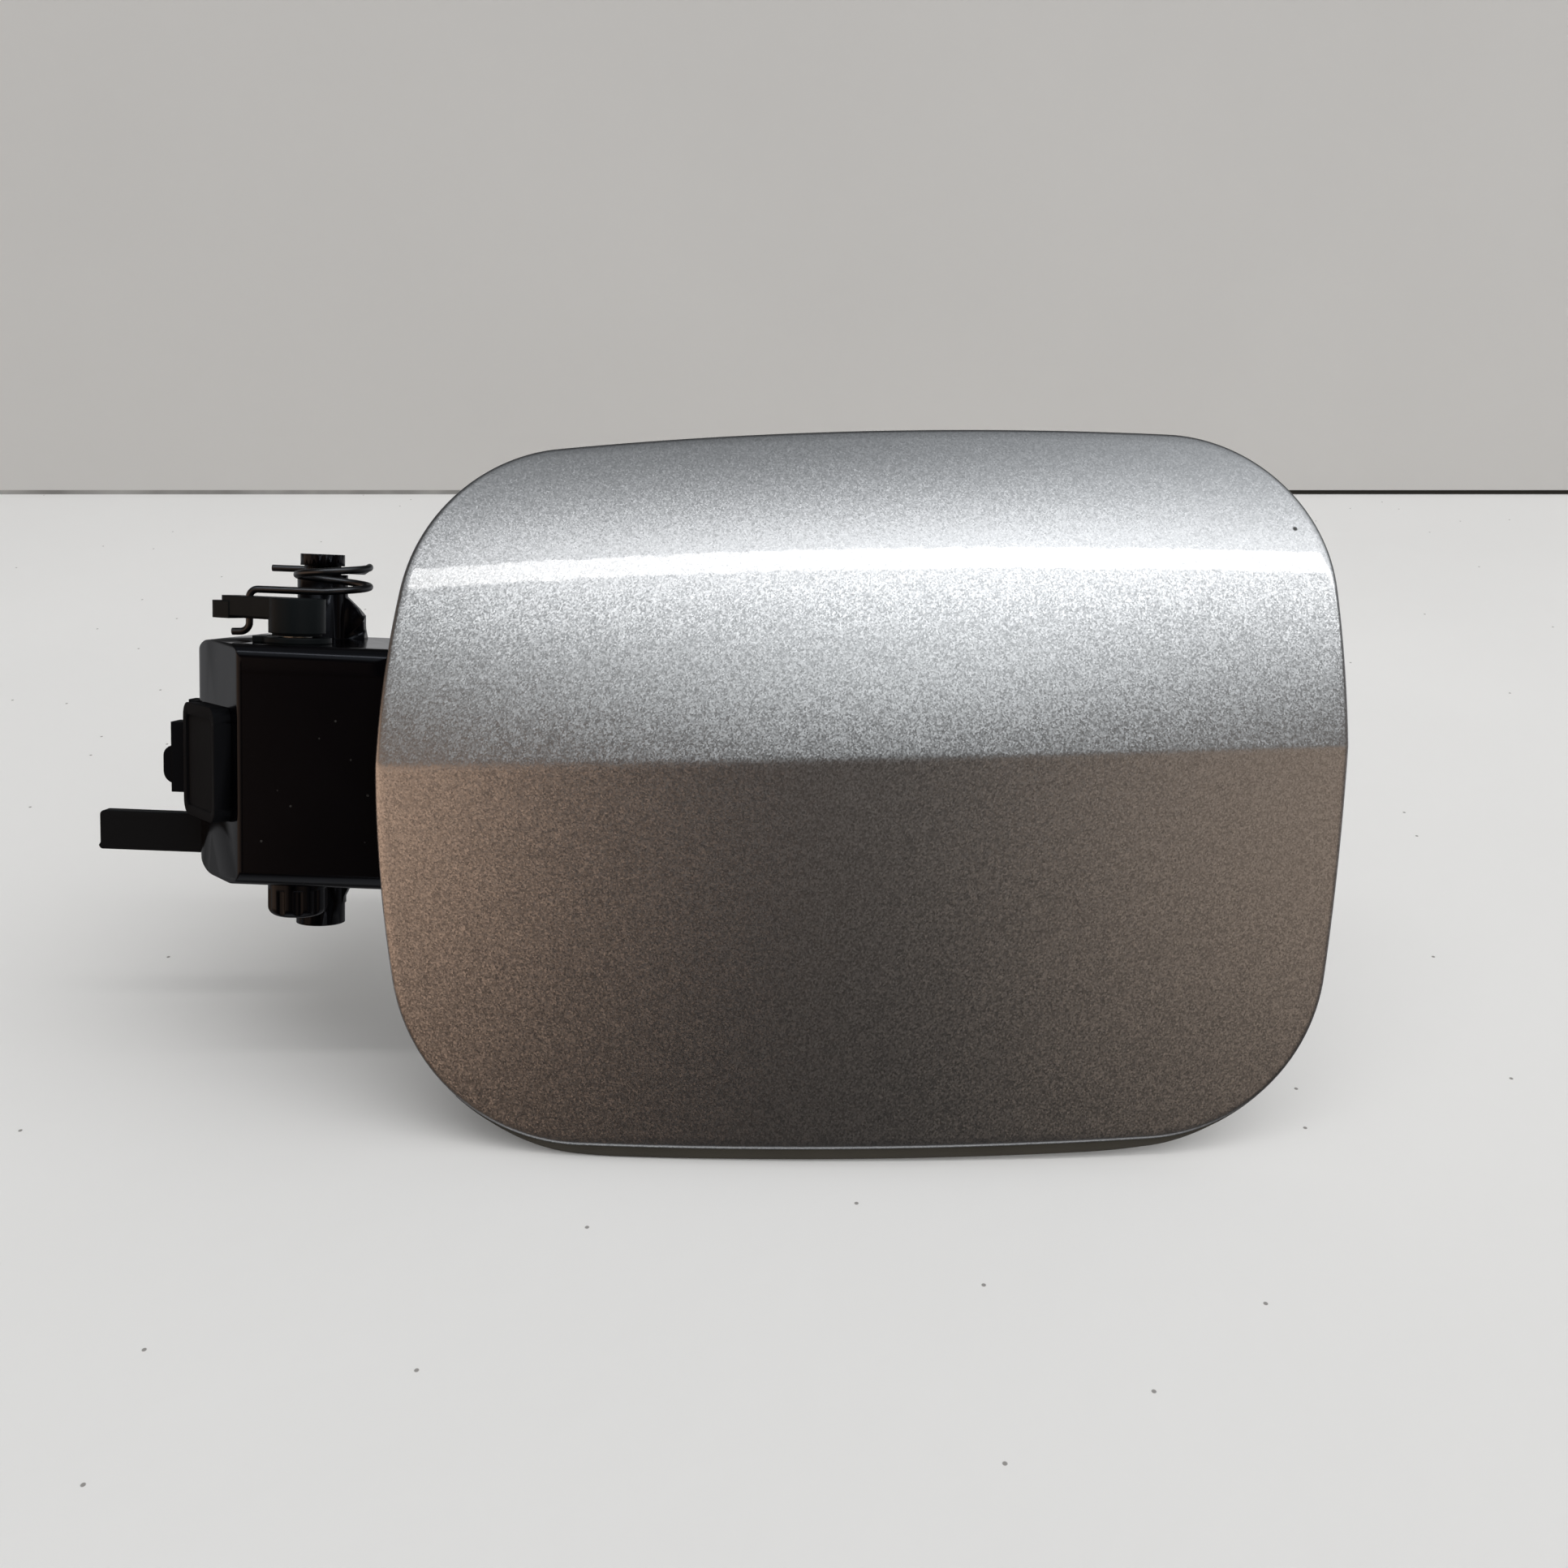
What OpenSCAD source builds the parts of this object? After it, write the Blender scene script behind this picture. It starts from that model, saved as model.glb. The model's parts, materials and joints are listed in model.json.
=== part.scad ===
// Car fuel door: painted flap, gooseneck arm, hinge housing and over-centre spring.
// Millimetres. Origin: centre of the housing's flat back face. +X towards the flap's
// free edge, +Y into the car body, +Z up. The flap is drawn shut.

/* [Flap skin] */
// Flap centre, to the right of the hinge axis
flap_offset = 115.4; // [110:0.2:130]
// Flap crease, in front of the hinge axis
flap_forward = 25; // [24:0.5:30]
// Flap crease, above the housing's middle
flap_raise = 7.5; // [5:0.5:9]
// Roll of the flap, its right end up, degrees
flap_roll = 3.5; // [2:0.25:5]
// Curvature radius of the flap seen from above
plan_r = 900; // [700:10:1500]
// Curvature radius of the face above the crease
upper_r = 174; // [160:1:200]
// Lean of the upper face at the crease, degrees
crease_tilt = 15; // [10:0.5:16]
// Curvature radius of the face below the crease
lower_r = 1430; // [1000:10:2000]
// Lean of the lower face at the crease, degrees
lower_tilt = 2; // [1:0.25:3]
// Upper right corner circle: x, z, radius
corner_ur = [64, 31, 32];
// Upper left corner circle: x, z, radius
corner_ul = [-58, 29.5, 33.5];
// Lower left corner circle: x, z, radius
corner_ll = [-56, -38.5, 37.5];
// Lower right corner circle: x, z, radius
corner_lr = [55, -41, 36];
// Bow radius of the top, left, bottom and right edges
edge_bow = [940, 290, 1900, 690];
// Thickness of the skin's sheet
skin_t = 0.8; // [0.6:0.1:1]
// Width of the hem folded back around the edge
hem_w = 9; // [6:0.5:12]

/* [Inner panel] */
// Thickness of the inner panel's sheet
inner_t = 0.7; // [0.5:0.1:0.9]
// Width of the flat border around the pan
pan_border = 16; // [13:0.5:18]
// Depth of the pan behind the outer face
pan_depth = 8; // [7:0.25:9]
// Gap left for adhesive between sheets
sheet_gap = 0.05; // [0.05:0.01:0.1]

/* [Housing] */
// Width of the housing
housing_w = 45; // [44:0.5:50]
// Depth from the hinge axis to the front wall
front_room = 13; // [12:0.5:16]
// Height of the housing
housing_h = 48.8; // [46:0.2:54]
// Wall of the housing
wall = 2.5; // [2:0.1:2.6]
// Slanted corner, along the front
bevel_w = 14.7; // [12:0.1:16]
// Slanted corner, along the side
bevel_d = 18; // [14:0.5:20]

/* [Hinge] */
// Radius of the hinge pin
pin_r = 3; // [2.5:0.1:3.2]
// Running clearance of the pin in its bushes
pin_play = 0.05; // [0.03:0.01:0.08]
// Radius at the middle of the gooseneck's curve
neck_r = 30.5; // [28:0.1:36]
// Clearance behind the gooseneck's curve when the flap is shut
neck_clear = 0.4; // [0.3:0.1:2]
// Thickness of the gooseneck's web
neck_t = 3; // [2:0.1:3.4]
// Width of the rails along the gooseneck's edges
rail_w = 5.2; // [4:0.1:6]
// Height of the gooseneck
neck_h = 34; // [30:0.5:38]

/* [Spring] */
// Diameter of the spring wire
wire_d = 1.5; // [1.2:0.1:1.6]
// Radius of the lower turn, at the wire's middle
coil_r = 7.4; // [7:0.1:8]
// Distance from the hinge axis to the lever's hole
lever_throw = 12.6; // [12:0.1:13]
// Distance of the spring post from the back face
post_inset = 8; // [7.5:0.5:9]
// Distance of the spring post left of the hinge axis
post_left = 3; // [2:0.5:4]

/* [Hidden] */

// The hinge axis and the front wall follow the gooseneck's curve
axis_back = neck_r + rail_w / 2 + neck_clear + wall;
housing_d = axis_back + front_room;
post_back = axis_back - post_inset;

// Flap outline and profile
door_corners = [corner_ur, corner_ul, corner_ll, corner_lr];
fit_gap = 0.05;
seat_gap = 0.25;
corner_steps = 12;
edge_steps = 7;
plan_half_angle = 8;
flap_top_z = 68;
flap_bottom_z = -81;
hem_depth = 2 * skin_t + inner_t + 2 * sheet_gap;
block_front = -10;
block_back = 70;

// Heights, counted from the housing's middle
housing_top = housing_h / 2;
cavity_top = housing_top - wall;
bush_flange_t = 1.2;
hub_gap = 0.3;
hub_z0 = housing_top + bush_flange_t + hub_gap;
hub_h = 7.6;
hub_z1 = hub_z0 + hub_h;
post_body_h = 13.9;
post_neck_h = 1.9;
post_head_h = 2.5;

// Spring route
wire_r = wire_d / 2;
wire_sides = 8;
spring_z0 = hub_z1 + 0.7 + wire_r;
spring_z1 = housing_top + post_body_h + post_neck_h / 2;

// Joins a list of 2-D corners [x, y, radius] with round arcs
function unit(v) = v / norm(v);
function turn_to(a, b) = let(d = (b - a) % 360) d > 180 ? d - 360 : d < -180 ? d + 360 : d;
function ccw_to(a, b) = let(d = (b - a) % 360) d < 0 ? d + 360 : d;
function arc_points(c, r, a0, a1, n) =
    [for (i = [0:n]) let(a = a0 + (a1 - a0) * i / n) [c.x + r * cos(a), c.y + r * sin(a)]];
function corner_arc(before, here, after, r, n) =
    let(p = [here.x, here.y],
        u = unit([before.x, before.y] - p),
        v = unit([after.x, after.y] - p),
        half = acos(u * v) / 2,
        c = p + unit(u + v) * r / sin(half),
        s = p + u * r / tan(half) - c,
        e = p + v * r / tan(half) - c,
        a0 = atan2(s.y, s.x))
    arc_points(c, r, a0, a0 + turn_to(a0, atan2(e.y, e.x)), n);
function rounded(pts, n = 6) =
    let(m = len(pts))
    [for (i = [0:m - 1])
        let(p = pts[i])
        each p[2] > 0 ? corner_arc(pts[(i + m - 1) % m], p, pts[(i + 1) % m], p[2], n)
                      : [[p.x, p.y]]];

// Centre of the large circle that touches two corner circles from outside
function bow_centre(a, b, big) =
    let(da = big - a[2],
        db = big - b[2],
        v = [b.x - a.x, b.y - a.y],
        d = norm(v),
        t = (da * da - db * db + d * d) / (2 * d),
        h = sqrt(da * da - t * t))
    [a.x, a.y] + v / d * t + [-v.y, v.x] / d * h;
bows = [for (i = [0:3]) bow_centre(door_corners[i], door_corners[(i + 1) % 4], edge_bow[i])];
function heading(a, b) = atan2(b.y - a.y, b.x - a.x);

// Flap outline, moved inwards by inset
function door_outline(inset) =
    [for (i = [0:3])
        let(c = door_corners[i],
            last = bows[(i + 3) % 4],
            next = bows[i],
            a0 = heading(last, c),
            a1 = a0 + ccw_to(a0, heading(next, c)),
            b1 = a1 + ccw_to(a1, heading(next, door_corners[(i + 1) % 4])),
            corner = arc_points(c, c[2] - inset, a0, a1, corner_steps),
            edge = arc_points(next, edge_bow[i] - inset, a1, b1, edge_steps))
        each concat([for (k = [0:corner_steps - 1]) corner[k]],
                    [for (k = [0:edge_steps - 1]) edge[k]])];

// Lean and set-back of the outer face at height z above the crease
function lean(z) =
    z > 0 ? asin(sin(crease_tilt) + z / upper_r)
  : z < 0 ? asin(sin(lower_tilt) + z / lower_r)
  : (crease_tilt + lower_tilt) / 2;
function set_back(z) =
    z > 0 ? upper_r * (cos(crease_tilt) - cos(lean(z)))
  : z < 0 ? lower_r * (cos(lower_tilt) - cos(lean(z)))
  : 0;
profile_z = concat([for (i = [0:4]) flap_bottom_z * (1 - i / 5)], [0],
                   [for (i = [1:16]) flap_top_z * i / 16]);
function profile_point(z, d) = [plan_r - set_back(z) - d * cos(lean(z)), z - d * sin(lean(z))];

// Moves children from the flap's own place to its shut place on the car
module on_flap() {
    translate([flap_offset, -axis_back - flap_forward, flap_raise])
        rotate([0, -flap_roll, 0])
            children();
}

// Puts children on the flap at x, z and depth d, with +Y along the inward normal
module on_face(x, z, d) {
    r = plan_r - set_back(z);
    translate([0, plan_r, 0])
        rotate([0, 0, asin(x / r)])
            translate([0, -r, z])
                rotate([-lean(z), 0, 0])
                    translate([0, d, 0])
                        rotate([-90, 0, 0])
                            children();
}

// Curved layer between two depths behind the outer face
module layer(d0, d1) {
    front = [for (z = profile_z) profile_point(z, d0)];
    back = [for (i = [len(profile_z) - 1:-1:0]) profile_point(profile_z[i], d1)];
    translate([0, plan_r, 0])
        rotate([0, 0, -90 - plan_half_angle])
            rotate_extrude(angle = 2 * plan_half_angle, $fn = 360)
                polygon(concat(front, back));
}

// Straight block in the flap's outline, deep enough to cut any layer
module outline_block(inset) {
    translate([0, block_back, 0])
        rotate([90, 0, 0])
            linear_extrude(height = block_back - block_front)
                polygon(door_outline(inset));
}
module outline_ring(inset, width) {
    difference() {
        outline_block(inset);
        outline_block(inset + width);
    }
}
module flap_plate(inset, d0, d1) {
    intersection() {
        outline_block(inset);
        layer(d0, d1);
    }
}
module flap_ring(inset, width, d0, d1) {
    intersection() {
        outline_ring(inset, width);
        layer(d0, d1);
    }
}

// Outer skin: one pressed sheet with its edge folded back over the inner panel
module outer_skin() {
    color("silver")
        on_flap() {
            flap_plate(0, 0, skin_t);
            flap_ring(0, skin_t, 0, hem_depth);
            flap_ring(0, hem_w, hem_depth - skin_t, hem_depth);
        }
}

// Arm foot and fittings, in the flap's x and z
foot_x0 = -80;
foot_x1 = -38;
foot_z0 = -28;
foot_z1 = 9;
foot_t = 3;
foot_corner = 5;
foot_screws = [[-70, -7.5], [-70, -20.5], [-47, -13]];
screw_r = 2.5;
screw_play = 0.2;
head_r = 4.6;
head_h = 3;
foot_pad_h = 1.2;
foot_pad_r = head_r + 1.4;
pad_sink = 0.4;
flange_t = 1;
drive_r = 1.6;
nut_h = 4;
nut_r = 4.6;
foot_depth = pan_depth + sheet_gap;
pad_depth = foot_depth + foot_t + foot_pad_h;

striker_x = 62;
striker_z = -17;
striker_reach = 24;
striker_bar_r = 2.5;
striker_gap = 13;
rivet_r = 2;
rivet_spacing = 20;
rivet_edge = 4;
rivet_inner_head = [1.2, 1.15];
rivet_dome = [1.6, 1.3];
striker_base = [rivet_spacing + 2 * rivet_edge, 27, 2.5];
striker_corner = 4;

stop_x = 60;
stop_upper_z = 34;
stop_lower_z = -52;
stop_hole_r = 3.2;
stop_barb = [1.1, 2.6];
stop_r = 7.5;
stop_h = 7.3;

holder_x = 12;
holder_z = -34;
holder_w = 34;
holder_h = 30;
holder_d = 11;
holder_wall = 2;
holder_slot = 13;
holder_foot = 3;
holder_pegs = 20;
holder_peg_r = 2.4;

window_r = 9;
windows = [[-18, 30], [16, 34], [36, -58], [-26, -58]];

// Through hole along the inward normal, from the pan to both sides
module pan_bore(x, z, r) {
    on_face(x, z, pan_depth - 3)
        cylinder(r = r, h = 6, $fn = 32);
}

// Inner panel: pressed sheet, flat border and a raised pan that carries the fittings
module inner_panel() {
    flange_d0 = skin_t + sheet_gap;
    color("gray")
        on_flap()
            difference() {
                union() {
                    flap_ring(skin_t + sheet_gap, pan_border, flange_d0, flange_d0 + inner_t);
                    flap_ring(pan_border, inner_t, flange_d0, pan_depth);
                    flap_plate(pan_border, pan_depth - inner_t, pan_depth);
                }
                for (w = windows)
                    pan_bore(w.x, w.y, window_r);
                for (s = foot_screws)
                    pan_bore(s.x, s.y, screw_r + screw_play);
                for (side = [-1, 1])
                    pan_bore(striker_x + side * rivet_spacing / 2, striker_z, rivet_r + screw_play);
                for (side = [-1, 1])
                    pan_bore(holder_x + side * holder_pegs / 2, holder_z, holder_peg_r + screw_play);
                pan_bore(stop_x, stop_upper_z, stop_hole_r);
                pan_bore(stop_x, stop_lower_z, stop_hole_r);
            }
}

// Gooseneck arm: hub, radial leg, round neck, strut and a foot moulded to the pan
neck_from = 98;
leg_step = 0.3;
neck_to = 15;
leg_start = 3;
rail_h = 2.5;
arm_hub_r = 7;
arm_hub_h = 2 * cavity_top - 1.6;
strut_lap = 2.6;
strut_x = flap_offset + foot_x0 + strut_lap;
strut_end = [strut_x, plan_r - sqrt(plan_r ^ 2 - (flap_offset - strut_x) ^ 2) - flap_forward + pan_depth];

module neck_strip(t) {
    start = neck_r * [cos(neck_to), sin(neck_to)];
    difference() {
        circle(r = neck_r + t / 2, $fn = 120);
        circle(r = neck_r - t / 2, $fn = 120);
        polygon(concat([[0, 0]], arc_points([0, 0], 2 * neck_r, neck_from, neck_to + 360, 24)));
    }
    rotate(neck_from)
        translate([leg_start, -t / 2])
            square([neck_r - leg_start + t / 2 - leg_step, t]);
    along = strut_end - start;
    translate(start)
        rotate(atan2(along.y, along.x)) {
            translate([-t / 4, -t / 2])
                square([norm(along) + t / 4, t]);
        }
}
module foot_outline() {
    translate([0, block_back, 0])
        rotate([90, 0, 0])
            linear_extrude(height = block_back - block_front)
                polygon(rounded([[foot_x0, foot_z0, foot_corner], [foot_x1, foot_z0, foot_corner],
                                 [foot_x1, foot_z1, foot_corner], [foot_x0, foot_z1, foot_corner]]));
}
module gooseneck_arm() {
    color([0.08, 0.08, 0.09]) {
        translate([0, -axis_back, 0])
            difference() {
                union() {
                    cylinder(r = arm_hub_r, h = arm_hub_h, center = true, $fn = 64);
                    linear_extrude(height = neck_h, center = true)
                        neck_strip(neck_t);
                    for (z = [-1, 0, 1])
                        translate([0, 0, z * (neck_h - rail_h) / 2])
                            linear_extrude(height = rail_h, center = true)
                                neck_strip(rail_w);
                }
                cylinder(r = pin_r + 0.01, h = arm_hub_h + 2, center = true, $fn = 48);
                translate([0, axis_back, 0])
                    on_flap()
                        layer(-12, foot_depth + foot_t / 3);
            }
        on_flap()
            difference() {
                union() {
                    intersection() {
                        foot_outline();
                        layer(foot_depth, foot_depth + foot_t);
                    }
                    for (s = foot_screws)
                        on_face(s.x, s.y, foot_depth + pad_sink)
                            cylinder(r = foot_pad_r, h = foot_t + foot_pad_h - pad_sink, $fn = 40);
                }
                for (s = foot_screws)
                    on_face(s.x, s.y, foot_depth - 1)
                        cylinder(r = screw_r + screw_play, h = foot_t + foot_pad_h + 2, $fn = 32);
            }
    }
}

// Flange screws that hold the arm's foot, with a recessed drive
module arm_screws() {
    color("dimgray")
        on_flap()
            for (s = foot_screws)
                on_face(s.x, s.y, 0)
                    difference() {
                        union() {
                            translate([0, 0, 2])
                                cylinder(r = screw_r, h = pad_depth - 1.9, $fn = 32);
                            translate([0, 0, pad_depth])
                                cylinder(r = head_r, h = flange_t, $fn = 40);
                            translate([0, 0, pad_depth + flange_t - 0.1])
                                cylinder(r = head_r - 1, h = head_h - flange_t + 0.1, $fn = 40);
                        }
                        translate([0, 0, pad_depth + 1.2])
                            cylinder(r = drive_r, h = head_h, $fn = 6);
                    }
}

// Square weld nuts on the hidden side of the pan
module weld_nuts() {
    color("lightslategray")
        on_flap()
            for (s = foot_screws)
                on_face(s.x, s.y, pan_depth - inner_t - sheet_gap - nut_h)
                    difference() {
                        translate([-nut_r, -nut_r, 0])
                            cube([2 * nut_r, 2 * nut_r, nut_h]);
                        translate([0, 0, -1])
                            cylinder(r = screw_r + 0.01, h = nut_h + 2, $fn = 32);
                    }
}

// Latch striker: round bar loop on a riveted plate
module latch_striker() {
    post = striker_gap / 2 + striker_bar_r;
    bar_z = striker_reach - striker_bar_r;
    half = [striker_base[0] / 2, striker_base[1] / 2];
    color("lightgray")
        on_flap()
            on_face(striker_x, striker_z, pan_depth + seat_gap)
                difference() {
                    union() {
                        linear_extrude(height = striker_base[2])
                            polygon(rounded([for (v = [[-1, 0], [-1 / 3, -1], [1 / 3, -1],
                                                       [1, 0], [1 / 3, 1], [-1 / 3, 1]])
                                [v.x * half.x, v.y * half.y, striker_corner]]));
                        for (side = [-1, 1])
                            translate([0, side * post, 0])
                                cylinder(r = striker_bar_r, h = bar_z, $fn = 32);
                        translate([0, post, bar_z])
                            rotate([90, 0, 0])
                                cylinder(r = striker_bar_r, h = 2 * post, $fn = 32);
                        for (side = [-1, 1])
                            translate([0, side * post, bar_z])
                                sphere(r = striker_bar_r, $fn = 32);
                    }
                    for (side = [-1, 1])
                        translate([side * rivet_spacing / 2, 0, -1])
                            cylinder(r = rivet_r + screw_play, h = striker_base[2] + 2, $fn = 32);
                }
}

// Rivets of the striker plate: a low dome outside and a formed head inside
module striker_rivets() {
    plate_top = pan_depth + seat_gap + striker_base[2];
    color("darkgray")
        on_flap()
            for (side = [-1, 1])
                on_face(striker_x + side * rivet_spacing / 2, striker_z, 0) {
                    translate([0, 0, pan_depth - inner_t - sheet_gap - rivet_inner_head[1]])
                        cylinder(r = rivet_r + rivet_inner_head[0], h = rivet_inner_head[1], $fn = 32);
                    translate([0, 0, pan_depth - inner_t - 0.1])
                        cylinder(r = rivet_r, h = striker_base[2] + inner_t + seat_gap + 0.4, $fn = 32);
                    translate([0, 0, plate_top + 0.02])
                        cylinder(r1 = rivet_r + rivet_dome[0], r2 = rivet_r, h = rivet_dome[1], $fn = 32);
                }
}

// Rubber stop buttons pressed into the pan
module stop_button() {
    inside = pan_depth - inner_t;
    barb_r = stop_hole_r + stop_barb[0];
    neck = stop_hole_r - 0.1;
    color([0.06, 0.06, 0.06])
        rotate_extrude($fn = 48)
            polygon([[0, inside - stop_barb[1]], [stop_hole_r - 1.2, inside - stop_barb[1]],
                     [barb_r, inside - 0.9], [barb_r, inside - sheet_gap],
                     [neck, inside - sheet_gap], [neck, pan_depth + seat_gap],
                     [stop_r, pan_depth + seat_gap], [stop_r, pan_depth + 2],
                     [stop_r - 1.5, pan_depth + stop_h - 2.1],
                     [stop_r - 2.9, pan_depth + stop_h - 0.7],
                     [stop_r - 5.3, pan_depth + stop_h - 0.1], [0, pan_depth + stop_h]]);
}
module bump_stop_upper() {
    on_flap()
        on_face(stop_x, stop_upper_z, 0)
            stop_button();
}
module bump_stop_lower() {
    on_flap()
        on_face(stop_x, stop_lower_z, 0)
            stop_button();
}

// Cap holder: yoke with an open slot that keeps the fuel cap's stem while filling
module cap_holder() {
    half = holder_w / 2;
    inner_half = holder_h / 2 - holder_foot;
    color([0.1, 0.1, 0.11])
        on_flap()
            on_face(holder_x, holder_z, pan_depth + seat_gap) {
                linear_extrude(height = holder_wall)
                    polygon(rounded([[-half, -holder_h / 2, 3], [half, -holder_h / 2, 3],
                                     [half, holder_h / 2, 3], [-half, holder_h / 2, 3]]));
                for (side = [-1, 1])
                    translate([side * holder_pegs / 2, 0, -inner_t - 1.5])
                        cylinder(r = holder_peg_r, h = inner_t + 2, $fn = 32);
                for (side = [-1, 1])
                    translate([side * (half - holder_wall / 2) - holder_wall / 2, -inner_half, 0])
                        cube([holder_wall, 2 * inner_half, holder_d]);
                translate([-half, inner_half - holder_wall, 0])
                    cube([holder_w, holder_wall, holder_d]);
                translate([0, 0, holder_d - holder_wall])
                    linear_extrude(height = holder_wall)
                        difference() {
                            polygon(rounded([[-half, -inner_half, 4], [half, -inner_half, 4],
                                             [half, inner_half, 1], [-half, inner_half, 1]]));
                            circle(d = holder_slot, $fn = 40);
                            translate([-holder_slot / 2, -holder_h])
                                square([holder_slot, holder_h]);
                        }
            }
}

// Hinge pin, its clip and thrust washers
pin_z0 = -housing_top - 6.2;
pin_z1 = hub_z1 - 1;
clip_z = pin_z0 + 1.6;
clip_t = 0.8;
groove_depth = 0.5;

module at_axis() {
    translate([0, -axis_back, 0])
        children();
}
module pivot_pin() {
    color("silver")
        at_axis()
            difference() {
                translate([0, 0, pin_z0])
                    cylinder(r = pin_r, h = pin_z1 - pin_z0, $fn = 48);
                translate([0, 0, clip_z])
                    difference() {
                        cylinder(r = pin_r + 1, h = clip_t, $fn = 48);
                        translate([0, 0, -1])
                            cylinder(r = pin_r - groove_depth, h = clip_t + 2, $fn = 48);
                    }
            }
}
module pin_circlip() {
    clearance = 0.05;
    color("dimgray")
        at_axis()
            translate([0, 0, clip_z + clearance])
                linear_extrude(height = clip_t - 2 * clearance)
                    difference() {
                        circle(r = pin_r + 1.1, $fn = 48);
                        circle(r = pin_r - groove_depth + clearance, $fn = 48);
                        translate([-1, -2 * pin_r])
                            square([2, 2 * pin_r]);
                    }
}
module thrust_washers() {
    gap = cavity_top - arm_hub_h / 2;
    color("whitesmoke")
        at_axis()
            for (side = [-1, 1])
                translate([0, 0, side * (arm_hub_h / 2 + gap / 2)])
                    difference() {
                        cylinder(r = arm_hub_r - 0.4, h = gap - 0.2, center = true, $fn = 48);
                        cylinder(r = pin_r + 0.2, h = gap + 1, center = true, $fn = 48);
                    }
}

// Spring lever: keyed hub above the housing, with an arm that pulls the spring's hook
lever_angle = 156;
lever_tip = 20.4;
lever_z0 = hub_z0 + 3.5;
lever_tip_w = 6.4;
hub_r = 5.65;
lever_rim_r = 17.8;
lever_root = 5.2;
lever_waist = [8, 4.2];
lever_groove = [4, 9, 2.4];
hook_hole_r = wire_r + 0.15;

module lever_shape(reach) {
    rotate(lever_angle)
        polygon(rounded([[0, -lever_root, 0], [lever_waist.x, -lever_waist.y, 3],
                         [reach, -lever_tip_w / 2, 1.6], [reach, lever_tip_w / 2, 1.6],
                         [lever_waist.x, lever_waist.y, 3], [0, lever_root, 0]]));
}
module spring_lever() {
    color([0.07, 0.07, 0.08])
        at_axis()
            difference() {
                union() {
                    translate([0, 0, hub_z0])
                        cylinder(r = hub_r - 0.7, h = 0.6, $fn = 64);
                    translate([0, 0, hub_z0 + 0.5])
                        cylinder(r = hub_r, h = hub_h - 0.5, $fn = 64);
                    translate([0, 0, lever_z0])
                        linear_extrude(height = hub_z1 - lever_z0)
                            lever_shape(lever_rim_r);
                    translate([0, 0, lever_z0 - 0.6])
                        linear_extrude(height = 3.6)
                            intersection() {
                                lever_shape(lever_tip);
                                rotate(lever_angle)
                                    translate([lever_rim_r - 3, -lever_tip_w])
                                        square([lever_tip, 2 * lever_tip_w]);
                            }
                    translate([0, 0, lever_z0 - 0.5])
                        linear_extrude(height = 0.6)
                            rotate(lever_angle)
                                translate([lever_groove[0], -lever_groove[2] / 2])
                                    square([lever_groove[1], lever_groove[2]]);
                }
                translate([0, 0, hub_z0 - 1])
                    cylinder(r = pin_r + 0.01, h = pin_z1 - hub_z0 + 1, $fn = 48);
                rotate(lever_angle)
                    translate([lever_throw, 0, lever_z0 - 2])
                        cylinder(r = hook_hole_r, h = hub_h, $fn = 24);
            }
}

// Housing: moulded box, open on the right where the gooseneck swings out
mouth_w = housing_w / 2;
front_y = -housing_d;
front_right = mouth_w - 5;
mouth_corner = [mouth_w, front_y + 8];
mouth_post = 3.4;
left_x = -housing_w / 2;
bevel_x = left_x + bevel_w;
bevel_y = front_y + bevel_d;
screw_hole_r = 2.1;
screw_inset = [6, 8.4];
screw_spacing = housing_h - 2 * screw_inset[1];
screw_x = left_x + screw_inset[0];
screw_boss_r = 4.6;
screw_boss_l = 9;
recess_t = 0.5;
recess_low = 3.1;
recess_high = 5.4;
recess_left = 0.6;
tongue_w = 8.5;
tongue_t = 3;
tongue_reach = 24.6;
tongue_low = 1.85;
tongue_z = -housing_top + tongue_low + tongue_w / 2;
tongue_y = -axis_back + 15;

module housing_plan(inset) {
    corner = inset * 0.6;
    polygon(rounded([[bevel_x + corner, front_y + inset, 1.6],
                     [front_right, front_y + inset, 3],
                     [mouth_w, mouth_corner.y, 2],
                     [mouth_w, 0, 0],
                     [left_x + inset, -inset, 1],
                     [left_x + inset, bevel_y + corner, 7 - inset]]));
}
module housing_front(inset) {
    top = housing_top - inset;
    polygon(rounded([[left_x + inset, -top, 5 - inset], [mouth_w + 1, -top, 0],
                     [mouth_w + 1, top, 0], [left_x + inset, top, 4.5 - inset]], 8));
}
module housing_side(inset) {
    top = housing_top - inset;
    polygon(rounded([[front_y + inset, -top, 4 - inset], [1, -top, 0],
                     [1, top, 0], [front_y + inset, top, 3 - inset]], 6));
}
module housing_block(inset, extra_mouth) {
    intersection() {
        linear_extrude(height = housing_h, center = true) {
            housing_plan(inset);
            if (extra_mouth)
                translate([front_right - 0.5, front_y + inset + mouth_post])
                    square([housing_w, housing_d - 2 * inset - mouth_post]);
        }
        union() {
            translate([0, 1, 0])
                rotate([90, 0, 0])
                    linear_extrude(height = housing_d + 2)
                        housing_front(inset);
            if (extra_mouth)
                translate([mouth_w - 1, front_y - 1, -housing_top + inset])
                    cube([housing_w, housing_d + 2, housing_h - 2 * inset]);
        }
        rotate([90, 0, 90])
            linear_extrude(height = 4 * housing_w, center = true)
                housing_side(inset);
    }
}
module on_bevel(along, up) {
    span = norm([bevel_w, bevel_d]);
    translate([bevel_x, front_y, up])
        rotate([0, 0, atan2(bevel_d, -bevel_w)])
            translate([along * span, 0, 0])
                rotate([90, 0, 180])
                    children();
}
post_r = 5.4;
post_neck_r = 3.9;
post_head_r = 4.75;
post_rib_t = 3;
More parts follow.
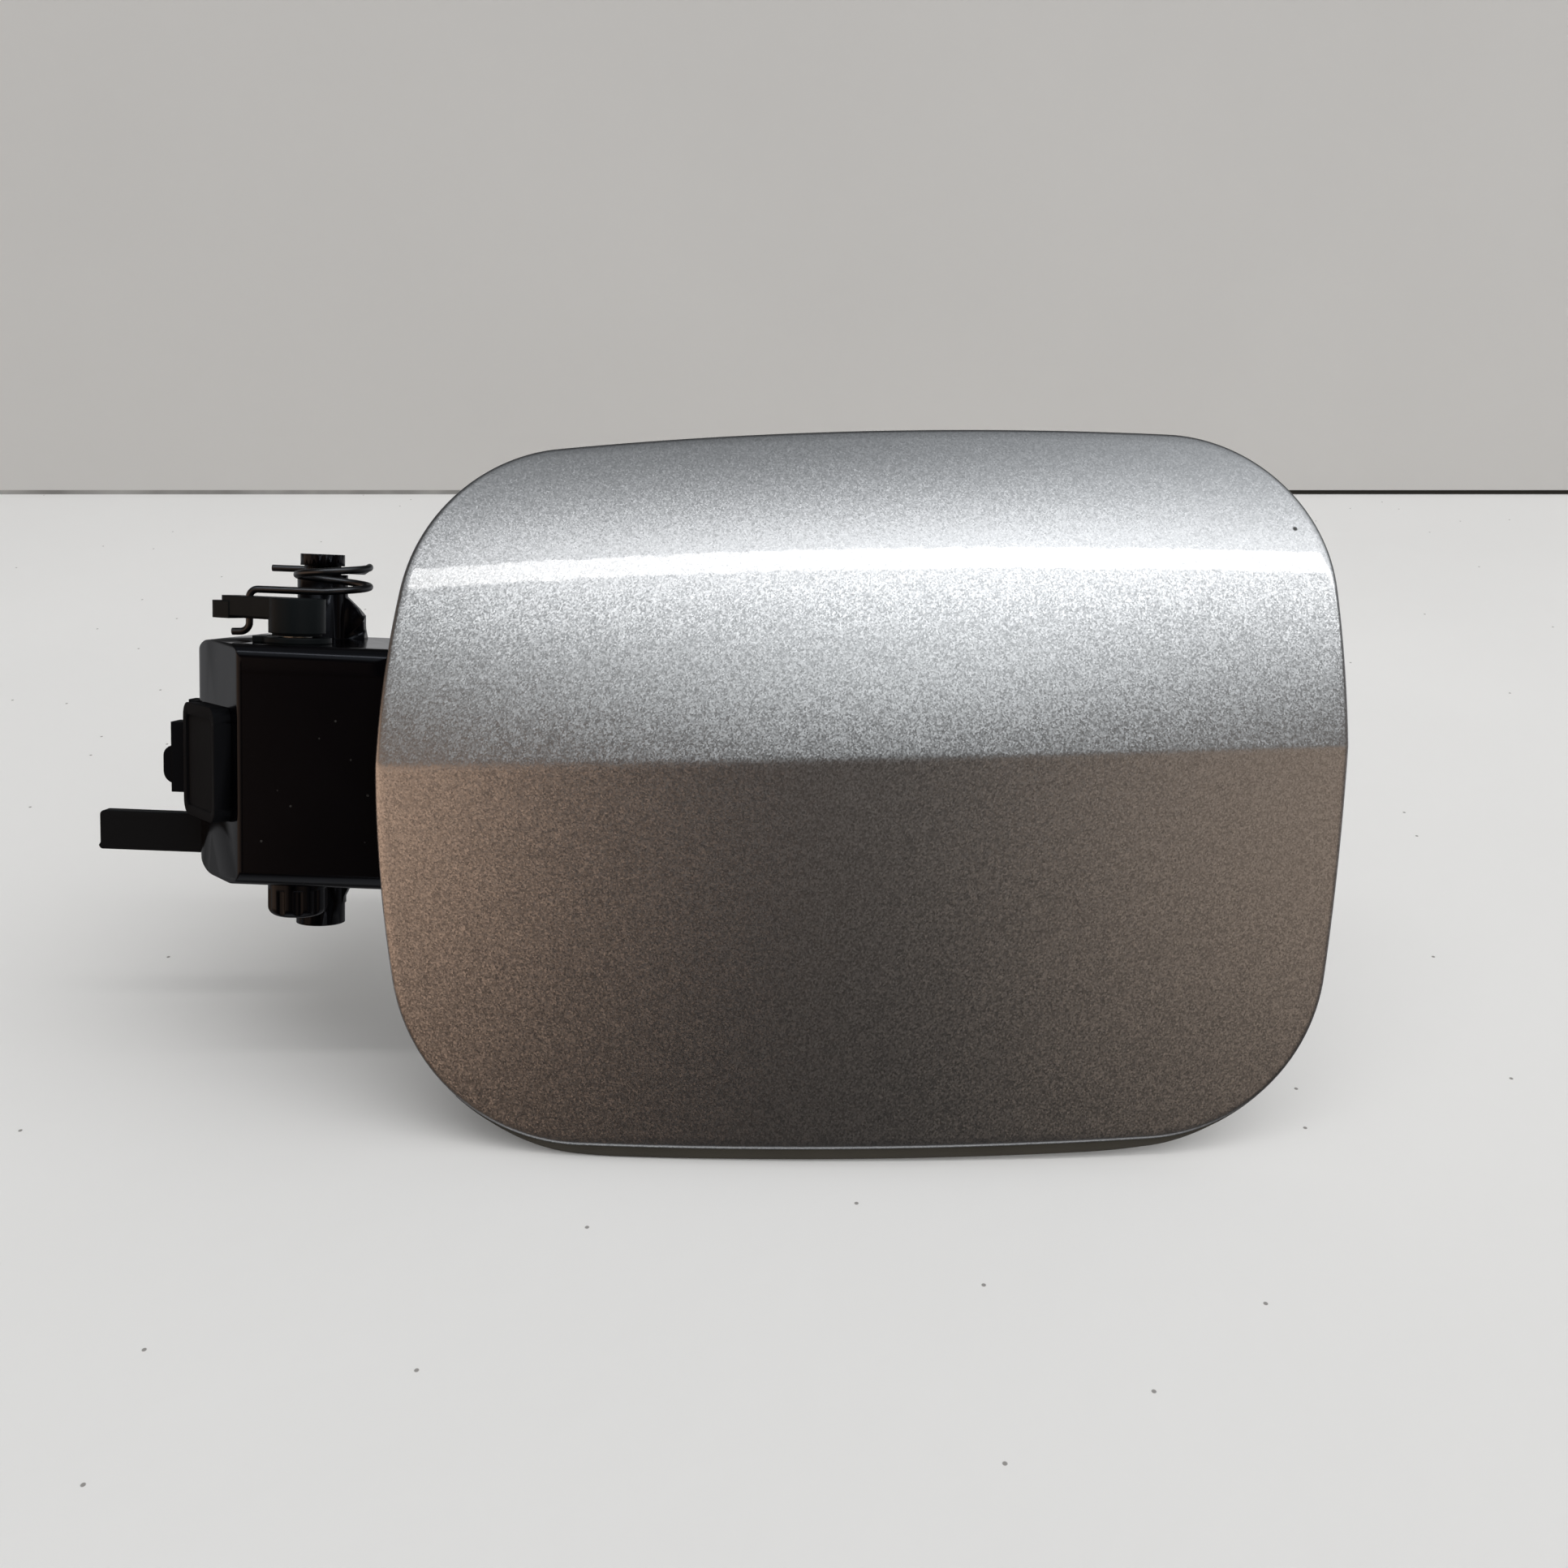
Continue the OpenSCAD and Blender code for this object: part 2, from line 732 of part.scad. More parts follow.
post_rib = [[0, 0, 0], [13.5, 0, 0], [13.5, 0.8, 0], [9.2, 3, 2],
            [9.2, 5.6, 0], [7.8, 7.2, 0], [4.6, 10.2, 0], [0, 10.2, 0]];
peg_r = 5.15;
peg_l = 12.6;
peg_free = 4.4;
peg_shoulder_r = peg_r + 0.25;
peg_rib = [9, 8, 2.4];
peg_at = [0.5, -axis_back + 14.5];
lower_bush_r = 5.95;
upper_bush_r = 6.85;
spigot_r = 4.6;

module spring_post() {
    translate([-post_left, -axis_back + post_back, 0]) {
        translate([0, 0, housing_top - 0.5])
            cylinder(r = post_r, h = post_body_h + 0.5, $fn = 64);
        translate([0, 0, housing_top + post_body_h - 0.1])
            cylinder(r = post_neck_r, h = post_neck_h + 0.2, $fn = 48);
        translate([0, 0, housing_top + post_body_h + post_neck_h])
            cylinder(r = post_head_r, h = post_head_h, $fn = 64);
        translate([0, post_rib_t / 2, housing_top - 0.5])
            rotate([90, 0, 0])
                linear_extrude(height = post_rib_t)
                    polygon(rounded(post_rib));
    }
}
module hinge_housing() {
    color([0.05, 0.05, 0.06])
        difference() {
            union() {
                difference() {
                    housing_block(0, false);
                    housing_block(wall, true);
                }
                spring_post();
                for (side = [-1, 1])
                    translate([screw_x, 0, side * screw_spacing / 2])
                        rotate([90, 0, 0])
                            cylinder(r = screw_boss_r, h = screw_boss_l, $fn = 48);
                translate([peg_at.x, peg_at.y, -housing_top - peg_l])
                    cylinder(r = peg_r, h = peg_l, $fn = 64);
                translate([peg_at.x, peg_at.y, -housing_top - peg_l + peg_free])
                    cylinder(r = peg_shoulder_r, h = peg_l - peg_free + 1, $fn = 64);
                translate([peg_at.x, peg_at.y + peg_rib[2] / 2, -housing_top + 0.5])
                    rotate([90, 0, 0])
                        linear_extrude(height = peg_rib[2])
                            polygon([[0, 0], [peg_rib[0], 0],
                                     [peg_r - 0.2, -peg_rib[1]], [0, -peg_rib[1]]]);
            }
            translate([bevel_x + recess_left, front_y - 1, -housing_top + recess_low])
                cube([housing_w, 1 + recess_t, housing_h - recess_low - recess_high]);
            for (side = [-1, 1])
                translate([screw_x, 1, side * screw_spacing / 2])
                    rotate([90, 0, 0])
                        cylinder(r = screw_hole_r, h = screw_boss_l, $fn = 32);
            at_axis() {
                translate([0, 0, cavity_top - 1])
                    cylinder(r = spigot_r, h = wall + 3, $fn = 48);
                translate([0, 0, -housing_top - 2])
                    cylinder(r = spigot_r, h = wall + 3, $fn = 48);
            }
            translate([left_x - 1, tongue_y - tongue_t / 2 - fit_gap, tongue_z - tongue_w / 2 - fit_gap])
                cube([wall + 2, tongue_t + 2 * fit_gap, tongue_w + 2 * fit_gap]);
        }
}

// Upper bush: flanged sleeve with a keying block
bush_key = [5, 6];
module upper_bush() {
    color([0.1, 0.1, 0.11])
        at_axis()
            difference() {
                union() {
                    translate([0, 0, cavity_top + 0.1])
                        cylinder(r = spigot_r - fit_gap, h = wall, $fn = 48);
                    translate([0, 0, housing_top + 0.02])
                        cylinder(r = upper_bush_r, h = bush_flange_t - 0.02, $fn = 64);
                    translate([-upper_bush_r - 1.35, -bush_key.y / 2, housing_top + 0.02])
                        cube([bush_key.x, bush_key.y, bush_flange_t + 0.1]);
                }
                translate([0, 0, cavity_top - 1])
                    cylinder(r = pin_r + pin_play, h = wall + 5, $fn = 48);
                translate([0, 0, housing_top + bush_flange_t])
                    cylinder(r = hub_r + 0.3, h = 2, $fn = 48);
            }
}

// Lower bush: closed cup with shallow flutes, spigot up into the housing
flutes = 10;
flute_r = 1.5;
cup_l = 7.8;
module lower_bush() {
    color([0.05, 0.05, 0.06])
        at_axis()
            difference() {
                union() {
                    translate([0, 0, -cavity_top - 0.1 - wall])
                        cylinder(r = spigot_r - fit_gap, h = wall, $fn = 48);
                    translate([0, 0, -housing_top - cup_l])
                        rotate_extrude($fn = 64)
                            polygon(rounded([[0, 0, 0], [lower_bush_r, 0, 1.8],
                                             [lower_bush_r, cup_l - 0.02, 0], [0, cup_l - 0.02, 0]]));
                }
                translate([0, 0, pin_z0 - 0.5])
                    cylinder(r = pin_r + pin_play, h = 20, $fn = 48);
                translate([0, 0, clip_z - 0.3])
                    cylinder(r = pin_r + 1.3, h = clip_t + 0.6, $fn = 48);
                for (i = [0:flutes - 1])
                    rotate(i * 360 / flutes)
                        translate([lower_bush_r + 1, 0, -housing_top - cup_l - 1])
                            cylinder(r = flute_r, h = cup_l - 1, $fn = 24);
            }
}

// Side pad on the slanted corner, with a shallow pocket
pad_w = 20;
pad_h = 23.3;
pad_t = 3.5;
pad_drop = 0.2;
pocket_t = 1;
pocket_rim = [2, 1.4, 2, 2.4];
module side_retainer() {
    left = -pad_w / 2 + pocket_rim[0];
    right = pad_w / 2 - pocket_rim[1];
    low = -pad_h / 2 + pocket_rim[2];
    high = pad_h / 2 - pocket_rim[3];
    color([0.08, 0.08, 0.09])
        on_bevel(0.5, -pad_drop)
            translate([0, 0, fit_gap])
                difference() {
                    linear_extrude(height = pad_t)
                        polygon(rounded([[-pad_w / 2, -pad_h / 2, 3], [pad_w / 2, -pad_h / 2, 3],
                                         [pad_w / 2, pad_h / 2, 3], [-pad_w / 2, pad_h / 2, 3]]));
                    translate([0, 0, pad_t - pocket_t])
                        linear_extrude(height = pocket_t + 1)
                            polygon(rounded([[left, low, 1.4], [right, low, 1.4],
                                             [right, high, 1.4], [left, high, 1.4]]));
                }
}

// Snap clip on the side wall: spine, stepped block, hooked nose and upper finger
clip_spine = [1.4, 8, 20.2];
clip_block = [4.5, 5, 14.8];
clip_nose = [6.3, 4.2, 8.1];
clip_finger = [2.2, 4, 3.2];
clip_low = -9;
clip_root = 0.9;
module retainer_clip() {
    nose_z = clip_low + 2.6;
    color([0.07, 0.07, 0.08])
        translate([left_x - fit_gap, -axis_back + 4.5, 0]) {
            translate([-clip_spine.x, 0, clip_low])
                cube(clip_spine);
            translate([-clip_root - clip_block.x, 0, clip_low + clip_root])
                cube(clip_block);
            translate([-clip_root, clip_nose.y + 0.4, nose_z])
                rotate([90, 0, 0])
                    linear_extrude(height = clip_nose.y)
                        polygon(rounded([[0, 0, 0], [0, clip_nose.z, 0],
                                         [-clip_nose.x, clip_nose.z, 2.2], [-clip_nose.x, 0, 2.6]]));
            translate([-clip_root - clip_finger.x, clip_spine.y - clip_finger.y,
                       clip_low + clip_spine.z - clip_finger.z])
                cube(clip_finger);
        }
}

// Mounting tongue: flat bar through the side wall, held by a head inside
tongue_notch = 0.4;
tongue_head = [1.6, 1.5, 1.5];
module mounting_tongue() {
    half = tongue_w / 2;
    head_z = tongue_head[2];
    color([0.04, 0.04, 0.04])
        translate([left_x, tongue_y + tongue_t / 2, tongue_z]) {
            rotate([90, 0, 0])
                linear_extrude(height = tongue_t)
                    polygon(rounded([[wall - 0.5, -half, 0], [wall - 0.5, half, 0],
                                     [-tongue_reach, half, 1],
                                     [-tongue_reach, -half + 1.4, 0.6],
                                     [-tongue_reach - tongue_notch, -half + 0.8, 0.3],
                                     [-tongue_reach, -half, 0.8]]));
            translate([wall - 1, -tongue_t, head_z])
                cube([2, tongue_t, half - head_z]);
            translate([wall + fit_gap, -tongue_t - tongue_head[1], head_z])
                cube([tongue_head[0], tongue_t + 2 * tongue_head[1], half - head_z + tongue_head[1]]);
        }
}

// Rubber buffer that the gooseneck's leg rests against when the flap is shut
buffer_t = 8;
buffer_w = 5;
buffer_h = 12;
buffer_play = 0.35;
module arm_buffer() {
    leg_x = function(y) -y * tan(neck_from - 90) - rail_w / 2 / cos(neck_from - 90) - buffer_play;
    back = axis_back - wall - fit_gap;
    left = leg_x(back) - buffer_w;
    color([0.06, 0.06, 0.06])
        at_axis()
            linear_extrude(height = buffer_h, center = true)
                polygon(rounded([[left, back, 0], [left, back - buffer_t + 1, 2],
                                 [leg_x(back - buffer_t), back - buffer_t, 1.5],
                                 [leg_x(back), back, 0]]));
}

// Over-centre spring: hook, leg through the lever, one and a half turns that widen
// around the post's neck, and a straight end
coil_centre = [4, 12];
turns_angle = 540;
blend_from = 200;
blend_to = 400;
neck_loop_gap = 0.15;
hook_y = lever_throw * sin(lever_angle);
hook_x = lever_throw * cos(lever_angle);
loop_back = post_back + post_neck_r + wire_r + neck_loop_gap;
loop_front = coil_centre.y - coil_r + 1.2;
loop_r = (loop_back - loop_front) / 2;
loop_centre = [coil_centre.x + coil_r - loop_r, (loop_back + loop_front) / 2];

function smooth(t) = let(c = min(1, max(0, t))) c * c * (3 - 2 * c);
function mix(a, b, t) = a + (b - a) * t;
function coil_point(a) =
    let(s = smooth((a - blend_from) / (blend_to - blend_from)),
        c = mix(coil_centre, loop_centre, s),
        r = mix(coil_r, loop_r, s),
        z = mix(spring_z0, spring_z1, smooth(a / turns_angle * 1.05)))
    [c.x + r * sin(a), c.y - r * cos(a), z];
bend_r = 1.8;
spring_route = concat(
    [[hook_x - 3.4, hook_y, lever_z0 - 3.2], [hook_x - 2.2, hook_y, lever_z0 - 3.3]],
    [for (i = [0:4]) let(a = -90 + i * 22.5)
        [hook_x - 2 + 2 * cos(a), hook_y, lever_z0 - 1.3 + 2 * sin(a)]],
    [for (i = [0:5]) let(a = 180 - i * 18)
        [hook_x + bend_r + bend_r * cos(a), hook_y, spring_z0 - bend_r + bend_r * sin(a)]],
    [for (i = [1:3]) mix([hook_x + bend_r, hook_y, spring_z0], coil_point(0), i / 4)],
    [for (a = [0:15:turns_angle]) coil_point(a)],
    [[-10, loop_centre.y + loop_r, spring_z1], [-15.7, loop_centre.y + loop_r, spring_z1]]);

// Tube swept along a list of points
function ring_at(path, i, r, n) =
    let(last = len(path) - 1,
        t = unit(path[min(i + 1, last)] - path[max(i - 1, 0)]),
        side = abs(t.z) > 0.9 ? [0, 1, 0] : [0, 0, 1],
        u = unit(cross(t, side)),
        v = cross(u, t))
    [for (k = [0:n - 1]) let(a = 360 * k / n) path[i] + r * (u * cos(a) + v * sin(a))];
module tube(path, r, n) {
    m = len(path);
    polyhedron(
        points = [for (i = [0:m - 1]) each ring_at(path, i, r, n)],
        faces = concat(
            [[for (k = [0:n - 1]) k]],
            [for (i = [0:m - 2], k = [0:n - 1]) let(j = (k + 1) % n)
                [i * n + k, (i + 1) * n + k, (i + 1) * n + j, i * n + j]],
            [[for (k = [n - 1:-1:0]) (m - 1) * n + k]]));
}
module over_centre_spring() {
    color([0.15, 0.16, 0.17])
        at_axis()
            tube(spring_route, wire_r, wire_sides);
}

outer_skin();
inner_panel();
gooseneck_arm();
arm_screws();
weld_nuts();
latch_striker();
striker_rivets();
bump_stop_upper();
bump_stop_lower();
cap_holder();
pivot_pin();
pin_circlip();
thrust_washers();
spring_lever();
hinge_housing();
upper_bush();
lower_bush();
side_retainer();
retainer_clip();
mounting_tongue();
arm_buffer();
over_centre_spring();
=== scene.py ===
# %% [markdown]
# # A car's fuel door
# The object is a painted steel flap on a gooseneck arm, with the moulded hinge housing that the arm
# swings in and a wire spring that snaps it open or shut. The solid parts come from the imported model,
# which is loaded first and never moved. Blender adds what the solids can't hold: the smooth pressed
# sheet with its soft crease, the round wire, the paint, and the light that the paint reflects.

import json
import math

import bmesh
import bpy
from mathutils import Matrix, Vector


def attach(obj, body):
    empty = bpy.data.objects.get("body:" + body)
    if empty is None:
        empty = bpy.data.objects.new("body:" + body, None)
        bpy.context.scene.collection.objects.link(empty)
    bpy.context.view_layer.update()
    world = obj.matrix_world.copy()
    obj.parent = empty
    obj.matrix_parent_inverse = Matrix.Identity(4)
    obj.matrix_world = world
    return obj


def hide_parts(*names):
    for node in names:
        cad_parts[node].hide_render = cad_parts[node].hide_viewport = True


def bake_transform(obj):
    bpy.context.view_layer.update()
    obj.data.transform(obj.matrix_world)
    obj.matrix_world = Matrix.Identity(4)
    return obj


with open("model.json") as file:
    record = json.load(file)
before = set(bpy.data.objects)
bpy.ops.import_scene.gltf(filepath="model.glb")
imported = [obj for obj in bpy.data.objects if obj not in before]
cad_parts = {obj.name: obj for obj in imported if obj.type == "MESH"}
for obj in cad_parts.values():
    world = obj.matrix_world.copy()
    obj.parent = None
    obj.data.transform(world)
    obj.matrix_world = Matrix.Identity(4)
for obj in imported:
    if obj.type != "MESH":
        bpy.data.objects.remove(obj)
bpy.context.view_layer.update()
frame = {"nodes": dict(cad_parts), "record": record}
NODES = frame["nodes"]
MM = 0.001

# %% [markdown]
# ## Camera
# The photograph looks slightly down at the flap, from its middle and about 30 cm away, with the camera
# rolled by two degrees. A camera can be aimed with a Track To constraint, but its own axes say the roll
# exactly, so the three axes are written as a matrix. The lens follows from the photograph: a focal
# length of 1938 pixels over a 1932 pixel frame.

# %% Place the camera
CAMERA_AT = Vector((100.877, -359.093, 41.651)) * MM
CAMERA_RIGHT = Vector((0.99926, 0.00501, 0.03806))
CAMERA_UP = Vector((-0.03839, 0.13043, 0.99071))
CAMERA_AHEAD = Vector((0.0, 0.99144, -0.13053))
FRAME_PX = 1932
FOCAL_PX = 1938
SENSOR = 36.0

camera_data = bpy.data.cameras.new("photo_camera")
camera_data.sensor_fit = "HORIZONTAL"
camera_data.sensor_width = SENSOR
camera_data.lens = SENSOR * FOCAL_PX / FRAME_PX
camera_data.clip_start = 0.01
camera = bpy.data.objects.new("photo_camera", camera_data)
bpy.context.scene.collection.objects.link(camera)
turn = Matrix((CAMERA_RIGHT, CAMERA_UP, -CAMERA_AHEAD)).transposed().to_4x4()
camera.matrix_world = Matrix.Translation(CAMERA_AT) @ turn
bpy.context.scene.camera = camera
bpy.context.scene.view_settings.view_transform = "Standard"
print("lens:", round(camera_data.lens, 2), "mm")


# %% [markdown]
# ## Helpers
# A finish is a node material. These few helpers keep the node code short: they make a material, add and
# link nodes, scale a value, mix two colours and pick a few Voronoi cells as specks. The last two make an
# object from a bmesh, printing how many faces it has, and shade it smooth.

# %% Small helpers
def new_finish(name):
    """An empty node material with its Principled shader."""
    finish = bpy.data.materials.new(name)
    finish.use_nodes = True
    return finish, finish.node_tree, finish.node_tree.nodes["Principled BSDF"]


def node(tree, kind, **values):
    """A node of that kind, its named inputs or properties set."""
    made = tree.nodes.new(kind)
    for key, value in values.items():
        if key in made.inputs:
            made.inputs[key].default_value = value
        else:
            setattr(made, key, value)
    return made


def link(tree, source, target):
    """Joins the source socket to the target socket."""
    tree.links.new(source, target)


def mapped(tree, value, start, end, low=0.0, high=1.0):
    """The value, with start to end taken to low to high and held beyond."""
    scaled = node(tree, "ShaderNodeMapRange", clamp=True)
    for name, number in (("From Min", start), ("From Max", end), ("To Min", low), ("To Max", high)):
        scaled.inputs[name].default_value = number
    link(tree, value, scaled.inputs["Value"])
    return scaled.outputs["Result"]


def mixed(tree, factor, first, second):
    """A mix of two colours, each a plain colour or a socket."""
    blend = node(tree, "ShaderNodeMix", data_type="RGBA")
    link(tree, factor, blend.inputs["Factor"])
    for side, colour in (("A", first), ("B", second)):
        if isinstance(colour, bpy.types.NodeSocket):
            link(tree, colour, blend.inputs[side])
        else:
            blend.inputs[side].default_value = [*colour, 1]
    return blend.outputs["Result"]


def specks(tree, cells, edge, core, above):
    """1 at the middle of the Voronoi cells whose tint is above the limit, else 0."""
    tints = node(tree, "ShaderNodeSeparateColor")
    link(tree, cells.outputs["Color"], tints.inputs["Color"])
    kept = node(tree, "ShaderNodeMath", operation="GREATER_THAN")
    link(tree, tints.outputs["Red"], kept.inputs[0])
    kept.inputs[1].default_value = above
    shown = node(tree, "ShaderNodeMath", operation="MULTIPLY")
    link(tree, mapped(tree, cells.outputs["Distance"], edge, core), shown.inputs[0])
    link(tree, kept.outputs["Value"], shown.inputs[1])
    return shown.outputs["Value"]


def shades(colour, *gains):
    """Darker and paler shades of a colour."""
    return [[min(1, c * gain) for c in colour] for gain in gains]


def object_from(bm, name, finish):
    """An object at the origin that holds the bmesh, with a finish."""
    mesh = bpy.data.meshes.new(name)
    bm.to_mesh(mesh)
    bm.free()
    made = bpy.data.objects.new(name, mesh)
    bpy.context.scene.collection.objects.link(made)
    mesh.materials.append(finish)
    print(name, "faces:", len(mesh.polygons))
    return made


def smoothed(made, sharp_from):
    """Smooth shading, but for edges sharper than that many degrees."""
    made.data.shade_smooth()
    made.data.set_sharp_from_angle(angle=math.radians(sharp_from))


# %% [markdown]
# ## Table and wall
# The flap stands on its lower edge on a white table and leans back. The part keeps its own frame, so it
# is the table that is tilted here: its normal lies between the camera's up axis and its view axis. The
# table ends at a wall, which meets it in a thin line, grey at the left and dark with painted shade at the
# right. A table could be one big plane with a bend, but the photograph shows two planes, so two planes
# it is.

# %% Table and wall shapes
TABLE_PITCH = math.radians(24)
table_up = (CAMERA_UP * math.cos(TABLE_PITCH) - CAMERA_AHEAD * math.sin(TABLE_PITCH)).normalized()
table_back = table_up.cross(CAMERA_RIGHT).normalized()
skin_verts = [v.co for v in NODES["outer_skin"].data.vertices]
LIP_DROP = 2.15 * MM
TABLE_LEVEL = min(co.dot(table_up) for co in skin_verts) - LIP_DROP
WALL_ROW_PX = 609
wall_ray = CAMERA_AHEAD + CAMERA_UP * (FRAME_PX / 2 - WALL_ROW_PX) / FOCAL_PX
wall_foot = CAMERA_AT + wall_ray * (TABLE_LEVEL - CAMERA_AT.dot(table_up)) / wall_ray.dot(table_up)
TABLE_HALF = 1.6
TABLE_DEPTH = 1.17
WALL_HEIGHT = 1.2
GAP = 2.2 * MM
print("wall", round((wall_foot - CAMERA_AT).length, 3), "m from the camera")


def stage_plane(name, foot, along, rise, half, height, finish):
    """A plane that starts on the line through foot and goes up along rise."""
    bm = bmesh.new()
    corners = [bm.verts.new(foot + along * side * half + rise * up)
               for side, up in ((-1, 0), (1, 0), (1, height), (-1, height))]
    bm.faces.new(corners)
    plane = object_from(bm, name, finish)
    return plane


# %% Table and wall finishes
CLOUD_TONES = 0.965, 1.03
SPECK_EDGE, SPECK_CORE, SPECK_ABOVE = 0.02, 0.014, 0.8
NEAR_Y, FAR_Y = -0.15, 0.25


def pale_finish(name, colour, roughness, painted_light_gain, specks_in, speck_scale, speck_colour):
    """Painted board: cloudy tone, painted light that makes it paler far off, faint dents, and specks, flat
    or in space.
    """
    finish, tree, shader = new_finish(name)
    where = node(tree, "ShaderNodeTexCoord").outputs["Object"]
    clouds = node(tree, "ShaderNodeTexNoise", Scale=7.0, Detail=4.0)
    link(tree, where, clouds.inputs["Vector"])
    tone = mixed(tree, clouds.outputs["Fac"], *shades(colour, *CLOUD_TONES))
    place = node(tree, "ShaderNodeSeparateXYZ")
    link(tree, where, place.inputs["Vector"])
    # Paler far off: painted light, the tone scaled up towards the back.
    painted_far_light = node(tree, "ShaderNodeVectorMath", operation="SCALE")
    link(tree, tone, painted_far_light.inputs[0])
    link(tree, mapped(tree, place.outputs["Y"], NEAR_Y, FAR_Y, 1.0, painted_light_gain), painted_far_light.inputs["Scale"])
    cells = node(tree, "ShaderNodeTexVoronoi", voronoi_dimensions=specks_in, Scale=speck_scale)
    link(tree, where, cells.inputs["Vector"])
    dirt = specks(tree, cells, SPECK_EDGE, SPECK_CORE, SPECK_ABOVE)
    link(tree, mixed(tree, dirt, painted_far_light.outputs["Vector"], speck_colour), shader.inputs["Base Color"])
    shader.inputs["Roughness"].default_value = roughness
    dents = node(tree, "ShaderNodeBump", Strength=0.15, Distance=0.0006)
    grain = node(tree, "ShaderNodeTexNoise", Scale=120.0, Detail=3.0)
    link(tree, where, grain.inputs["Vector"])
    link(tree, grain.outputs["Fac"], dents.inputs["Height"])
    link(tree, dents.outputs["Normal"], shader.inputs["Normal"])
    return finish


# The table grows up to 1.12 times paler towards the wall: painted light. The wall gets none.
table_finish = pale_finish("table_board", (0.82, 0.82, 0.813), 0.6, 1.12, "2D", 42.0, (0.3, 0.29, 0.28))
wall_finish = pale_finish("wall_board", (0.61, 0.596, 0.578), 0.7, 1.0, "3D", 6.0, (0.45, 0.43, 0.40))

# %% The crack between wall and table
# Where and how strongly the crack's painted shade darkens: grey at the left, near black at the right.
CRACK_LIGHT_X, CRACK_SHADE_X = 0.0, 0.2
CRACK_SHADE_LOW, CRACK_SHADE_HIGH = -0.1, 0.9
CRACK_GREY, CRACK_PAINTED_SHADE = (0.5, 0.49, 0.47), (0.02, 0.019, 0.014)


def crack_finish():
    """Crack between wall and table: grey at the left, painted shade that grows dark to the right."""
    finish, tree, shader = new_finish("wall_gap")
    where = node(tree, "ShaderNodeTexCoord").outputs["Object"]
    # Painted shade of the crack: a ramp towards the right, made patchy by noise.
    shade_patches = node(tree, "ShaderNodeTexNoise", Scale=38.0, Detail=3.0)
    link(tree, where, shade_patches.inputs["Vector"])
    place = node(tree, "ShaderNodeSeparateXYZ")
    link(tree, where, place.inputs["Vector"])
    shade_ramp = mapped(tree, place.outputs["X"], CRACK_LIGHT_X, CRACK_SHADE_X, CRACK_SHADE_LOW, CRACK_SHADE_HIGH)
    depth = node(tree, "ShaderNodeMath", operation="ADD", use_clamp=True)
    link(tree, shade_ramp, depth.inputs[0])
    link(tree, shade_patches.outputs["Fac"], depth.inputs[1])
    link(tree, mixed(tree, depth.outputs["Value"], CRACK_GREY, CRACK_PAINTED_SHADE), shader.inputs["Base Color"])
    return finish


wall_from = wall_foot + table_up * GAP
table = stage_plane("table", wall_foot, CAMERA_RIGHT, -table_back, TABLE_HALF, TABLE_DEPTH, table_finish)
crack = stage_plane("wall_gap", wall_foot, CAMERA_RIGHT, table_up, TABLE_HALF, GAP, crack_finish())
wall = stage_plane("wall", wall_from, CAMERA_RIGHT, table_up, TABLE_HALF, WALL_HEIGHT, wall_finish)
for board in (table, wall, crack):
    board.visible_glossy = False

# %% [markdown]
# ## Light
# One long ceiling lamp makes the white streak on the upper half of the flap, and its glow in the metallic
# paint. Its place was found by mirroring the view ray at three points of the streak. The rest of the
# light is the soft world. Paint also mirrors the room: pale behind, grey above, brown in front, and dark
# where the camera stands. The world gives that room to glossy rays only. All other rays get a soft grey
# light that is stronger from the front and from the right, which sets the shadows on the table.

# %% Ceiling lamp
LAMP_FROM = Vector((-0.60, -0.70, 1.045))
LAMP_TO = Vector((1.45, -0.63, 1.045))
LAMP_AIM = Vector((0.115, -0.06, 0.03))
LAMP_WIDTH = 0.082
LAMP_WATTS = 3.6
lamp_data = bpy.data.lights.new("ceiling_lamp", "AREA")
lamp_data.shape = "RECTANGLE"
lamp_data.size = (LAMP_TO - LAMP_FROM).length
lamp_data.size_y = LAMP_WIDTH
lamp_data.energy = LAMP_WATTS
lamp_data.color = (1.0, 0.99, 0.98)
lamp = bpy.data.objects.new("ceiling_lamp", lamp_data)
bpy.context.scene.collection.objects.link(lamp)
lamp_middle = (LAMP_FROM + LAMP_TO) / 2
lamp_along = (LAMP_TO - LAMP_FROM).normalized()
lamp_back = (lamp_middle - LAMP_AIM).normalized()
lamp_across = lamp_back.cross(lamp_along).normalized()
lamp_back = lamp_along.cross(lamp_across).normalized()
lamp.matrix_world = Matrix.Translation(lamp_middle) @ Matrix(
    (lamp_along, lamp_across, lamp_back)).transposed().to_4x4()
print("lamp", round(lamp_data.size, 2), "m long")

# %% The world: a room for glossy rays, soft light for the rest
SOFT_LIGHT = 0.99
ROOM_LIGHT = 1.25
CEILING_LEAN = -0.28
world = bpy.data.worlds.new("room")
bpy.context.scene.world = world
world.use_nodes = True
room = world.node_tree
room.nodes.clear()
ways = node(room, "ShaderNodeSeparateXYZ")
link(room, node(room, "ShaderNodeTexCoord").outputs["Generated"], ways.inputs["Vector"])


def room_ramp(value, low, high, stops):
    """Colours along a value of the view direction, soft between the stops."""
    ramp = node(room, "ShaderNodeValToRGB")
    ramp.color_ramp.interpolation = "EASE"
    while len(ramp.color_ramp.elements) < len(stops):
        ramp.color_ramp.elements.new(0.5)
    for element, (place, colour) in zip(ramp.color_ramp.elements, stops):
        element.position = (place - low) / (high - low)
        element.color = [*colour, 1]
    link(room, mapped(room, value, low, high), ramp.inputs["Fac"])
    return ramp.outputs["Color"]


